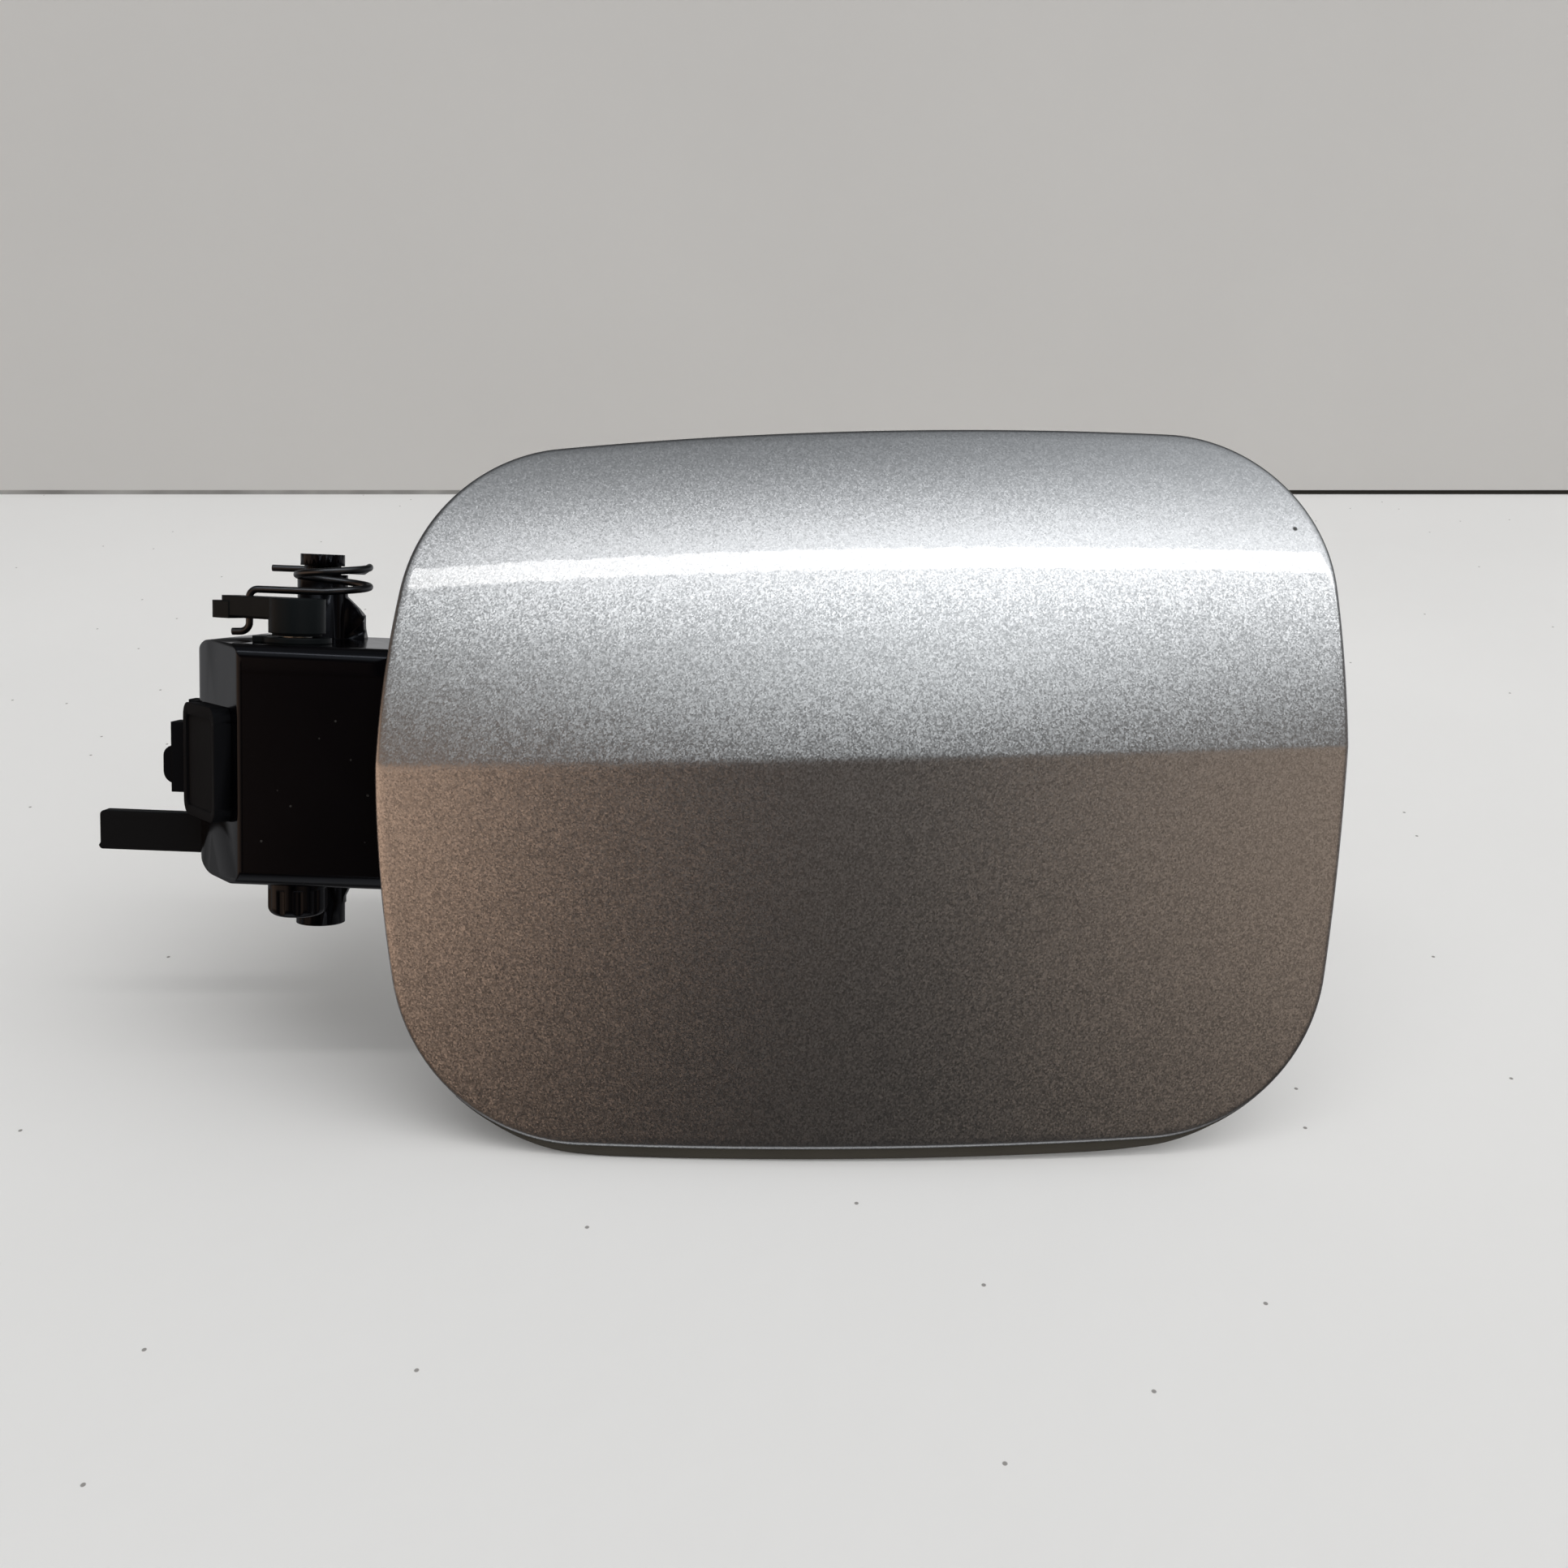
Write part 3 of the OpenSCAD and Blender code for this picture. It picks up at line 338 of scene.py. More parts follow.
def room_product(first, second):
    """Product of two colours."""
    times = node(room, "ShaderNodeMix", data_type="RGBA", blend_type="MULTIPLY")
    times.inputs["Factor"].default_value = 1.0
    link(room, first, times.inputs["A"])
    link(room, second, times.inputs["B"])
    return times.outputs["Result"]


def greys(*stops):
    """Ramp stops of plain greys."""
    return [(place, (value, value, value)) for place, value in stops]


def facing(axis, stops):
    """Colours along one axis of the view direction."""
    return room_ramp(ways.outputs[axis], -1, 1, stops)


# What shines is seen in a room: brown furniture below, a grey ceiling above, pale wall behind.
furniture = facing("X", [
    (-0.9, (0.64, 0.425, 0.295)), (-0.52, (0.64, 0.425, 0.295)), (-0.22, (0.072, 0.05, 0.037)),
    (-0.06, (0.010, 0.008, 0.007)), (0.08, (0.014, 0.012, 0.010)), (0.36, (0.225, 0.163, 0.118)),
    (0.55, (0.315, 0.225, 0.158)), (0.9, (0.11, 0.078, 0.055))])
standing = facing("Z", greys(
    (-0.75, 0.06), (-0.45, 0.14), (-0.12, 0.92), (0.1, 1.0), (0.32, 0.15)))
lit_height = facing("Z", [
    (0.3, (0.18, 0.19, 0.195)), (0.62, (0.97, 1.0, 1.0)), (0.82, (0.78, 0.81, 0.83)),
    (1.0, (0.19, 0.2, 0.21))])
aslant = node(room, "ShaderNodeMath", operation="MULTIPLY_ADD")
link(room, ways.outputs["Z"], aslant.inputs[0])
aslant.inputs[1].default_value = CEILING_LEAN
link(room, ways.outputs["X"], aslant.inputs[2])
lit_side = room_ramp(aslant.outputs["Value"], -1.3, 1.3, greys(
    (-0.9, 0.045), (-0.5, 0.5), (-0.05, 1.0), (0.15, 0.6), (0.45, 0.51), (0.9, 0.41)))
rise = facing("Z", greys((0.32, 0.0), (0.6, 1.0)))
front = mixed(room, rise, room_product(furniture, standing), room_product(lit_height, lit_side))
pale = facing("Z", [
    (-0.24, (0.11, 0.11, 0.113)), (-0.03, (0.31, 0.31, 0.316)), (0.1, (0.3, 0.3, 0.305)),
    (0.4, (0.035, 0.035, 0.035))])
behind = facing("Y", greys((0.0, 0.0), (0.4, 1.0)))
all_round = mixed(room, behind, front, pale)
white = facing("Y", greys((-0.7, 0.5), (-0.05, 0.4), (0.25, 0.06)))
below = facing("Z", greys((-0.9, 1.0), (-0.76, 0.0)))
all_round = mixed(room, below, all_round, white)
mirrored = node(room, "ShaderNodeBackground", Strength=ROOM_LIGHT)
link(room, all_round, mirrored.inputs["Color"])

# Everything else is lit by a soft grey.
from_above = facing("Z", greys((0.0, 0.45), (0.35, 0.62), (0.75, 0.96), (1.0, 0.92)))
from_right = facing("X", greys((-0.8, 0.12), (-0.1, 0.66), (0.3, 1.1), (0.8, 1.7)))
soft = node(room, "ShaderNodeBackground", Strength=SOFT_LIGHT)
from_front = facing("Y", greys((-0.8, 1.7), (0.0, 0.97), (0.6, 0.15)))
link(room, room_product(room_product(from_above, from_right), from_front), soft.inputs["Color"])
choose = node(room, "ShaderNodeMixShader")
link(room, node(room, "ShaderNodeLightPath").outputs["Is Glossy Ray"], choose.inputs[0])
link(room, soft.outputs[0], choose.inputs[1])
link(room, mirrored.outputs[0], choose.inputs[2])
link(room, choose.outputs[0], node(room, "ShaderNodeOutputWorld").inputs["Surface"])
print("world nodes:", len(room.nodes))

# %% [markdown]
# ## Silver paint
# The flap is sprayed with silver metallic paint under clear lacquer. Three things show it: fine flakes
# that catch the light one by one, a broad soft glow of the metal under the lacquer, and a sharp mirror
# image of the lamp on the lacquer, its edge a little wavy from orange peel. The Principled shader has a
# coat for the lacquer. The flakes are Voronoi cells, each tilting the normal its own way.

# %% Paint
FLAKE_CELLS = 3600.0
FLAKE_TILT = 0.115
PEEL_SCALE = 240.0
FLAKE_MIDDLE = (0.5, 0.5, 0.5)
CHIP_AT = (0.2014, -0.0390, 0.0551)
CHIP_R, CHIP_EDGE, CHIP_CORE = 0.45 * MM, 1.3, 0.8
CHIP_COLOUR = (0.04, 0.04, 0.04)


def chipped(tree, where, colour):
    """The colour with one small dark chip near the right end of the lamp's image."""
    away = node(tree, "ShaderNodeVectorMath", operation="DISTANCE")
    link(tree, where, away.inputs[0])
    away.inputs[1].default_value = CHIP_AT
    near = mapped(tree, away.outputs["Value"], CHIP_R * CHIP_EDGE, CHIP_R * CHIP_CORE)
    return mixed(tree, near, colour, CHIP_COLOUR)


def paint_finish(name, light, dark, roughness, coat):
    """Silver metallic paint; coat is how much lacquer lies on it."""
    finish, tree, shader = new_finish(name)
    where = node(tree, "ShaderNodeTexCoord").outputs["Object"]
    flakes = node(tree, "ShaderNodeTexVoronoi", Scale=FLAKE_CELLS)
    link(tree, where, flakes.inputs["Vector"])
    tilt = node(tree, "ShaderNodeVectorMath", operation="SUBTRACT")
    link(tree, flakes.outputs["Color"], tilt.inputs[0])
    tilt.inputs[1].default_value = FLAKE_MIDDLE
    less = node(tree, "ShaderNodeVectorMath", operation="SCALE")
    less.inputs["Scale"].default_value = FLAKE_TILT
    link(tree, tilt.outputs[0], less.inputs[0])
    plain = node(tree, "ShaderNodeNewGeometry")
    leaning = node(tree, "ShaderNodeVectorMath", operation="ADD")
    link(tree, plain.outputs["Normal"], leaning.inputs[0])
    link(tree, less.outputs[0], leaning.inputs[1])
    even = node(tree, "ShaderNodeVectorMath", operation="NORMALIZE")
    link(tree, leaning.outputs[0], even.inputs[0])
    link(tree, even.outputs[0], shader.inputs["Normal"])
    parts = node(tree, "ShaderNodeSeparateColor")
    link(tree, flakes.outputs["Color"], parts.inputs["Color"])
    tone = mixed(tree, parts.outputs["Blue"], dark, light)
    link(tree, chipped(tree, where, tone), shader.inputs["Base Color"])
    peel = node(tree, "ShaderNodeTexNoise", Scale=PEEL_SCALE, Detail=1.0)
    link(tree, where, peel.inputs["Vector"])
    waves = node(tree, "ShaderNodeBump", Strength=0.12, Distance=0.0001)
    link(tree, peel.outputs["Fac"], waves.inputs["Height"])
    link(tree, waves.outputs["Normal"], shader.inputs["Coat Normal"])
    shader.inputs["Metallic"].default_value = 1.0
    shader.inputs["Roughness"].default_value = roughness
    shader.inputs["Coat Weight"].default_value = coat
    shader.inputs["Coat Roughness"].default_value = 0.03
    return finish


silver_paint = paint_finish("silver_paint", (0.66, 0.67, 0.685), (0.43, 0.44, 0.455), 0.32, 1.0)
overspray = paint_finish("silver_overspray", (0.50, 0.50, 0.51), (0.40, 0.40, 0.41), 0.5, 0.2)
print("paint nodes:", len(silver_paint.node_tree.nodes))

# %% [markdown]
# ## Black plastics, rubber and steel
# The hinge is moulded in black plastic. The housing's mould is polished, so it mirrors the room; the arm,
# the lever and the small pieces are satin; the tongue is dull. The spring is dark steel wire, the screws
# and the pin are zinc plated. All take one helper: a noise moves the roughness a little, as on handled
# plastic, and a finer one gives the mould's grain. The polished housing also holds a few specks of dust.

# %% Finish of one solid colour with mould grain
EDGE_R = 0.45 * MM
DUST_CELLS = 330.0
DUST_EDGE, DUST_CORE, DUST_ABOVE = 0.1, 0.06, 0.72
DUST_COLOUR = (0.03, 0.029, 0.027)
MIRROR_TINT = (0.8, 0.86, 1.0, 1)
SMOOTHEST = 0.02
PLASTIC_TONES = 0.8, 1.2


def dusted(tree, where, colour):
    """The colour with a few pale specks of dust."""
    cells = node(tree, "ShaderNodeTexVoronoi", Scale=DUST_CELLS)
    link(tree, where, cells.inputs["Vector"])
    return mixed(tree, specks(tree, cells, DUST_EDGE, DUST_CORE, DUST_ABOVE), colour, DUST_COLOUR)


def moulded(name, colour, roughness, grain_scale, grain_height, metallic=0.0, spread=0.06, shine=0.4,
            dust=False):
    """Plain finish with uneven sheen and fine grain."""
    finish, tree, shader = new_finish(name)
    where = node(tree, "ShaderNodeTexCoord").outputs["Object"]
    uneven = node(tree, "ShaderNodeTexNoise", Scale=90.0, Detail=5.0)
    link(tree, where, uneven.inputs["Vector"])
    fac = uneven.outputs["Fac"]
    sheen = mapped(tree, fac, 0.0, 1.0, max(SMOOTHEST, roughness - spread), roughness + spread)
    link(tree, sheen, shader.inputs["Roughness"])
    tone = mixed(tree, fac, *shades(colour, *PLASTIC_TONES))
    link(tree, dusted(tree, where, tone) if dust else tone, shader.inputs["Base Color"])
    grain = node(tree, "ShaderNodeTexNoise", Scale=grain_scale, Detail=2.0)
    link(tree, where, grain.inputs["Vector"])
    worn_edge = node(tree, "ShaderNodeBevel", samples=6, Radius=EDGE_R)
    bump = node(tree, "ShaderNodeBump", Strength=0.25, Distance=grain_height)
    link(tree, worn_edge.outputs["Normal"], bump.inputs["Normal"])
    link(tree, grain.outputs["Fac"], bump.inputs["Height"])
    link(tree, bump.outputs["Normal"], shader.inputs["Normal"])
    shader.inputs["Metallic"].default_value = metallic
    if not metallic:
        shader.inputs["Specular IOR Level"].default_value = shine
        shader.inputs["Specular Tint"].default_value = MIRROR_TINT
    return finish


FINISHES = {
    "paint": silver_paint,
    "painted_inner": overspray,
    "gloss_black": moulded("gloss_black", (0.0012, 0.001, 0.0014), 0.13, 160.0, 0.00006,
                           spread=0.03, shine=0.24, dust=True),
    "satin_plastic": moulded("satin_black", (0.0062, 0.0078, 0.0083), 0.38, 900.0, 0.00005, shine=0.1),
    "arm_plastic": moulded("arm_black", (0.005, 0.005, 0.0055), 0.42, 900.0, 0.00006, shine=0.25),
    "matte_black": moulded("dull_black", (0.0035, 0.0038, 0.0038), 0.55, 1400.0, 0.00008, shine=0.2),
    "washer_plastic": moulded("washer_white", (0.62, 0.61, 0.57), 0.4, 900.0, 0.00004),
    "rubber": moulded("rubber_black", (0.009, 0.009, 0.009), 0.75, 1200.0, 0.0001),
    "spring_steel": moulded("spring_steel", (0.085, 0.088, 0.095), 0.3, 1500.0, 0.00003, metallic=1.0),
    "zinc_steel": moulded("zinc_steel", (0.56, 0.555, 0.53), 0.32, 1500.0, 0.00003, metallic=1.0),
}
for part in frame["record"]["subparts"]:
    solid = NODES[part["node"]]
    solid.data.materials.clear()
    solid.data.materials.append(FINISHES[part["material_slot"]])
dull_pad = moulded("pad_black", (0.0025, 0.0025, 0.003), 0.68, 1400.0, 0.00008, shine=0.12)
for darker in ("side_retainer", "retainer_clip"):
    NODES[darker].data.materials[0] = dull_pad
print("finishes:", sorted(FINISHES))

# %% [markdown]
# ## The pressed skin
# The flap's face is one sheet, curved in both directions, with a crease from side to side that is softer
# at the hinge end. Its edge is folded back flat over the inner panel. A mirror finish shows every flat
# facet, so the CAD sheet is replaced by a fine grid. The grid starts as a flat square; each of its
# points is then moved to its place in the flap's outline and pushed back onto the curved face.

# %% Flap measures, in mm, as in the part's source
FLAP_AT = Vector((115.4, -61.0, 7.5))
FLAP_ROLL = math.radians(3.5)
PLAN_R = 900.0
UPPER_R, UPPER_TILT = 174.0, math.radians(15)
LOWER_R, LOWER_TILT = 1430.0, math.radians(2)
# Corner circles as x, z, radius, and the radii of the four bowed sides between them.
CORNERS = [(64, 31, 32), (-58, 29.5, 33.5), (-56, -38.5, 37.5), (55, -41, 36)]
BOWS = [940, 290, 1900, 690]
CORNER_STEPS, BOW_STEPS = 60, 120
SHEET = 0.8
HEM_DEPTH = 2.4
HEM_WIDTH = 9.0
HEM_ROUND, HEM_CUT, HEM_TIP = 0.3, 0.2, 0.1
FOLD_IN, FOLD_DEEP = 0.6, 0.4
FOLD_STEPS = 10
SOFT_LEFT, SOFT_RIGHT = 1.25, 0.55
SOFT_HALF = 90


def lean(z):
    """Backward lean of the face at height z above the crease."""
    if z > 0:
        return math.asin(math.sin(UPPER_TILT) + z / UPPER_R)
    return math.asin(math.sin(LOWER_TILT) + z / LOWER_R)


def set_back(x, z):
    """How far the face lies behind the crease, the crease rounded."""
    r, tilt = (UPPER_R, UPPER_TILT) if z > 0 else (LOWER_R, LOWER_TILT)
    soft = SOFT_LEFT + (SOFT_RIGHT - SOFT_LEFT) * (x + SOFT_HALF) / (2 * SOFT_HALF)
    rounding = max(0.0, soft - abs(z)) ** 2 / (4 * soft)
    kink = math.tan(UPPER_TILT) - math.tan(LOWER_TILT)
    return r * (math.cos(tilt) - math.cos(lean(z))) + kink * rounding


def flap_point(x, z, depth=0.0):
    """Place of a point of the flap, in metres; depth is behind the face."""
    radius = PLAN_R - set_back(x, z)
    swing = math.asin(x / radius)
    tilt = lean(z)
    y = -radius + depth * math.cos(tilt)
    up = z - depth * math.sin(tilt)
    local = Vector((-y * math.sin(swing), y * math.cos(swing) + PLAN_R, up))
    return (Matrix.Rotation(-FLAP_ROLL, 3, "Y") @ local + FLAP_AT) * MM


print("flap corner:", [round(c, 4) for c in flap_point(64, 50)])


# %% Outline of the flap
def bow_centre(a, b, big):
    """Centre of the large circle that touches two corner circles."""
    da, db = big - a[2], big - b[2]
    v = Vector((b[0] - a[0], b[1] - a[1]))
    d = v.length
    t = (da * da - db * db + d * d) / (2 * d)
    h = math.sqrt(da * da - t * t)
    return Vector(a[:2]) + v / d * t + Vector((-v.y, v.x)) / d * h


def heading(a, b):
    """Direction from a to b."""
    return math.atan2(b[1] - a[1], b[0] - a[0])


bow_at = [bow_centre(CORNERS[i], CORNERS[(i + 1) % 4], BOWS[i]) for i in range(4)]


def arc(centre, radius, start, sweep, steps):
    """Points on an arc with the directions that face outwards there."""
    made = []
    for k in range(steps + 1):
        a = start + sweep * k / steps
        out = Vector((math.cos(a), math.sin(a)))
        made.append((Vector(centre[:2]) + out * radius, out))
    return made


def side(i):
    """One side of the outline, from the middle of corner i to the middle of the next."""
    here, there = CORNERS[i], CORNERS[(i + 1) % 4]
    full = 2 * math.pi
    a_in, a_out = heading(bow_at[i - 1], here), heading(bow_at[i], here)
    b_in, b_out = heading(bow_at[i], there), heading(bow_at[(i + 1) % 4], there)
    first, last = (a_out - a_in) % full / 2, (b_out - b_in) % full / 2
    return (arc(here, here[2], a_in + first, first, CORNER_STEPS)[:-1]
            + arc(bow_at[i], BOWS[i], a_out, (b_in - a_out) % full, BOW_STEPS)[:-1]
            + arc(there, there[2], b_in, last, CORNER_STEPS))


def spaced(points, shares):
    """Points at the given shares of the way along a side."""
    steps = [(points[k + 1][0] - points[k][0]).length for k in range(len(points) - 1)]
    total, made, k, gone = sum(steps), [], 0, 0.0
    for share in shares:
        want = share * total
        while k < len(steps) - 1 and gone + steps[k] < want:
            gone += steps[k]
            k += 1
        t = min(1.0, (want - gone) / steps[k])
        made.append(tuple(points[k][j].lerp(points[k + 1][j], t) for j in (0, 1)))
    return made


def share_at_crease(points):
    """Share of the way along a side at which it crosses the crease."""
    steps = [(points[k + 1][0] - points[k][0]).length for k in range(len(points) - 1)]
    gone = 0.0
    for k, step in enumerate(steps):
        if points[k][0].y * points[k + 1][0].y <= 0:
            return (gone + step * abs(points[k][0].y) / step) / sum(steps)
        gone += step
    raise ValueError("the side misses the crease")


# %% The grid's edge points
COLUMNS = 120
ROWS_LOW, ROWS_UP = 62, 64
CLOSER = 0.22


def graded(n):
    """Shares from 0 to 1 that lie closer together towards 1."""
    return [1 - (CLOSER * (1 - k / n) + (1 - CLOSER) * (1 - k / n) ** 2) for k in range(n + 1)]


def upright(points):
    """A side's points from bottom to top, row by row, with one on the crease."""
    cross = share_at_crease(points)
    low = [cross * s for s in graded(ROWS_LOW)]
    high = [1 - (1 - cross) * s for s in graded(ROWS_UP)][::-1]
    return spaced(points, low + high[1:])


level = [k / COLUMNS for k in range(COLUMNS + 1)]
top = spaced(side(0)[::-1], level)
bottom = spaced(side(2), level)
left = upright(side(1)[::-1])
right = upright(side(3))
ROWS = ROWS_LOW + ROWS_UP
print("grid:", COLUMNS, "x", ROWS)

# %% [markdown]
# A patch between four curves is a Coons patch: the average of the two ruled surfaces between opposite
# sides, less the corners that were counted twice. After it, every column is stretched a little so that
# one whole row of points lies exactly on the crease.

# %% Places of the grid's points in the outline
RIM_R = HEM_DEPTH / 2


def inset(edge_point, distance):
    """A point of the outline moved inwards."""
    return edge_point[0] - edge_point[1] * distance


def patch(col, row):
    """Flat place of a grid point, before the crease row is straightened."""
    u, v = col / COLUMNS, row / ROWS
    low, high = inset(bottom[col], RIM_R), inset(top[col], RIM_R)
    west, east = inset(left[row], RIM_R), inset(right[row], RIM_R)
    c00, c10 = inset(bottom[0], RIM_R), inset(bottom[-1], RIM_R)
    c01, c11 = inset(top[0], RIM_R), inset(top[-1], RIM_R)
    v = (west.y - c00.y) / (c01.y - c00.y) * (1 - u) + (east.y - c10.y) / (c11.y - c10.y) * u
    ruled = low * (1 - v) + high * v + west * (1 - u) + east * u
    return ruled - (c00 * (1 - u) * (1 - v) + c10 * u * (1 - v) + c01 * (1 - u) * v + c11 * u * v)


flat = [[patch(col, row) for row in range(ROWS + 1)] for col in range(COLUMNS + 1)]
for column in flat:
    miss = column[ROWS_LOW].y
    bottom_y, top_y = column[0].y, column[-1].y
    for point in column:
        far = bottom_y if point.y < miss else top_y
        point.y -= miss * (point.y - far) / (miss - far)
print("crease row:", round(flat[10][ROWS_LOW].y, 4), round(flat[60][ROWS_LOW].y, 4))


# %% Skin mesh
FLAP_HALF = 80
INNER_SHRINK = 1 - FOLD_IN / FLAP_HALF
WELD, WELD_CAD = 1e-6, 2e-6


def edge_at(col, row):
    """The outline's point at a border point of the grid, or None inside it."""
    if row in (0, ROWS):
        return (top if row else bottom)[col]
    if col in (0, COLUMNS):
        return (right if col else left)[row]
    return None


def in_order(bm):
    """Sorts edges and faces by their points, as extruding leaves them in an order that changes each run."""
    bm.verts.index_update()
    for items in (bm.edges, bm.faces):
        ranked = sorted(items, key=lambda item: sorted(vert.index for vert in item.verts))
        rank = {item: k for k, item in enumerate(ranked)}
        items.sort(key=lambda item: rank[item])
        items.index_update()


def build_skin():
    """Face, rolled hem and inner side of the sheet, as one closed bmesh."""
    bm = bmesh.new()
    bmesh.ops.create_grid(bm, x_segments=COLUMNS, y_segments=ROWS, size=0.5)
    place = {}
    for vert in bm.verts:
        col = round((vert.co.x + 0.5) * COLUMNS)
        row = round((vert.co.y + 0.5) * ROWS)
        place[vert] = (col, row)
    ring = {}
    for vert, (col, row) in place.items():
        if edge_at(col, row):
            ring[vert] = edge_at(col, row)
    outer_faces = list(bm.faces)
    for vert, (col, row) in place.items():
        vert.co = flap_point(*flat[col][row])
    inner = bmesh.ops.duplicate(bm, geom=list(bm.verts) + list(bm.edges) + outer_faces)
    pair = {copy: vert for vert, copy in inner["vert_map"].items() if copy not in place}
    hem = [(RIM_R - RIM_R * math.cos(a), RIM_R + RIM_R * math.sin(a))
           for a in [math.radians(-90 + 180 * k / FOLD_STEPS) for k in range(1, FOLD_STEPS + 1)]]
    hem += [(HEM_WIDTH - HEM_ROUND, HEM_DEPTH), (HEM_WIDTH, HEM_DEPTH - HEM_ROUND),
            (HEM_WIDTH, HEM_DEPTH - SHEET + HEM_TIP), (HEM_WIDTH - HEM_CUT, HEM_DEPTH - SHEET),
            (RIM_R + FOLD_IN, HEM_DEPTH - SHEET), (RIM_R + FOLD_DEEP, RIM_R), (RIM_R + FOLD_IN, SHEET)]
    edges = [e for e in bm.edges if e.is_boundary and e.verts[0] in ring]
    for gap, depth in hem:
        before = {tuple(round(c, 9) for c in vert.co): edge for vert, edge in ring.items()}
        grown = bmesh.ops.extrude_edge_only(bm, edges=edges)["geom"]
        edges = [e for e in grown if isinstance(e, bmesh.types.BMEdge)]
        ring = {vert: before[tuple(round(c, 9) for c in vert.co)]
                for vert in grown if isinstance(vert, bmesh.types.BMVert)}
        for vert, edge in ring.items():
            vert.co = flap_point(*inset(edge, gap), depth)
    for copy, vert in pair.items():
        col, row = place[vert]
        edge = edge_at(col, row)
        spot = inset(edge, RIM_R + FOLD_IN) if edge else flat[col][row] * INNER_SHRINK
        copy.co = flap_point(*spot, SHEET)
    bmesh.ops.reverse_faces(bm, faces=[f for f in inner["geom"] if isinstance(f, bmesh.types.BMFace)])
    bmesh.ops.remove_doubles(bm, verts=list(bm.verts), dist=WELD)
    bmesh.ops.recalc_face_normals(bm, faces=list(bm.faces))
    in_order(bm)
    print("skin open edges:", sum(not e.is_manifold for e in bm.edges))
    return bm


flap_skin = object_from(build_skin(), "flap_skin", silver_paint)
smoothed(flap_skin, 40)
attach(flap_skin, "door")
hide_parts("outer_skin")

# %% [markdown]
# ## The lower lip
# Along the flap's foot the folded sheet reaches a little lower at the back than at the front, so a dark
# strip shows below the bright rim. It is the same silver sheet, its dark brown colour painted shade of
# its own shadow and of the shadowed table it mirrors. The strip is swept along the lower edge of the
# outline and fades out in the corners.

# %% Lip behind the lower rim
LIP_REACH = 2.3
LIP_FROM, LIP_TO = 0.9, 2.3
LIP_FULL, LIP_END = 46.0, 86.0
LIP_MIDDLE_X = -3
LIP_ROOT, LIP_SHOULDER, LIP_LEAN, LIP_ROUND = 0.7, 0.45, 0.1, 0.5


def lip_reach(x):
    """How far the lip stands out of the outline, fading towards the corners."""
    far = (abs(x - LIP_MIDDLE_X) - LIP_FULL) / (LIP_END - LIP_FULL)
    far = min(1.0, max(0.0, far))
    return LIP_REACH * (1 - far * far * (3 - 2 * far))


def build_lip():
    """Closed strip whose section stands behind the rim."""
    bm = bmesh.new()
    loops = []
    for edge_point in bottom:
        reach = lip_reach(edge_point[0].x)
        section = [(LIP_ROOT, LIP_FROM), (-LIP_SHOULDER * reach, LIP_FROM + LIP_LEAN),
                   (-reach, LIP_TO - LIP_ROUND), (-reach, LIP_TO), (LIP_ROOT, LIP_TO)]
        loops.append([bm.verts.new(flap_point(*inset(edge_point, gap), depth)) for gap, depth in section])
    count = len(loops[0])
    for here, after in zip(loops, loops[1:]):
        for k in range(count):
            bm.faces.new((here[k], here[(k + 1) % count], after[(k + 1) % count], after[k]))
    bm.faces.new(loops[0])
    bm.faces.new(loops[-1])
    bmesh.ops.recalc_face_normals(bm, faces=list(bm.faces))
    return bm


# Dark brown: painted shade and painted reflection of the shadowed table, not the sheet's silver.
lip_painted_shade = moulded("lip_painted_shade", (0.055, 0.048, 0.036), 0.5, 900.0, 0.00004, shine=0.2)
flap_lip = object_from(build_lip(), "flap_lip", lip_painted_shade)
smoothed(flap_lip, 40)
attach(flap_lip, "door")

# %% [markdown]
# ## Housing and side pad, small corrections
# Seen close, a few forms of the hinge differ a little from the solids: the front wall runs flat to the
# mouth's edge, its recess is shallower, the post's rib ends without a foot, and the side pad is narrower
# with a shallow pocket. Modelling the housing again would risk its fit, so its own mesh is copied and a
# few points are moved.

# %% Copies with moved points
def reshaped(name, source, move):
    """A copy of a solid's mesh with its points moved, which then stands in for the solid."""
    bm = bmesh.new()
    bm.from_mesh(NODES[source].data)
    for vert in bm.verts:
        vert.co = Vector(move(*(vert.co / MM))) * MM
    bmesh.ops.remove_doubles(bm, verts=list(bm.verts), dist=WELD_CAD)
    bmesh.ops.recalc_face_normals(bm, faces=list(bm.faces))
    print(name, "open edges:", sum(not e.is_manifold for e in bm.edges))
    made = object_from(bm, name, NODES[source].data.materials[0])
    smoothed(made, 32)
    flatter = made.modifiers.new("flat_faces_lead", "WEIGHTED_NORMAL")
    flatter.keep_sharp = True
    flatter.weight = 100
    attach(made, "housing")
    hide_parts(source)
    return made


HOUSING_FRONT, MOUTH_X, TURN_X = -49.0, 22.5, 14.5
FRONT_WALL_Y, CORNER_BACK_Y = -47.0, -40.9
SLANT_X, CORNER_SLOPE, SLANT_SLACK = 17.5, 5 / 8, 0.3
CORNER_STRETCH = 8 / 3
RIB_X, RIB_Y, HOUSING_TOP = 6.2, -8.0, 24.4
RIB_FOOT, RIB_HALF, FOOT_LEFT = 4.6, 1.6, 0.1
RECESS_FLOOR, RECESS_RISE = -48.5, 0.22
FLAT_WITHIN = 0.02


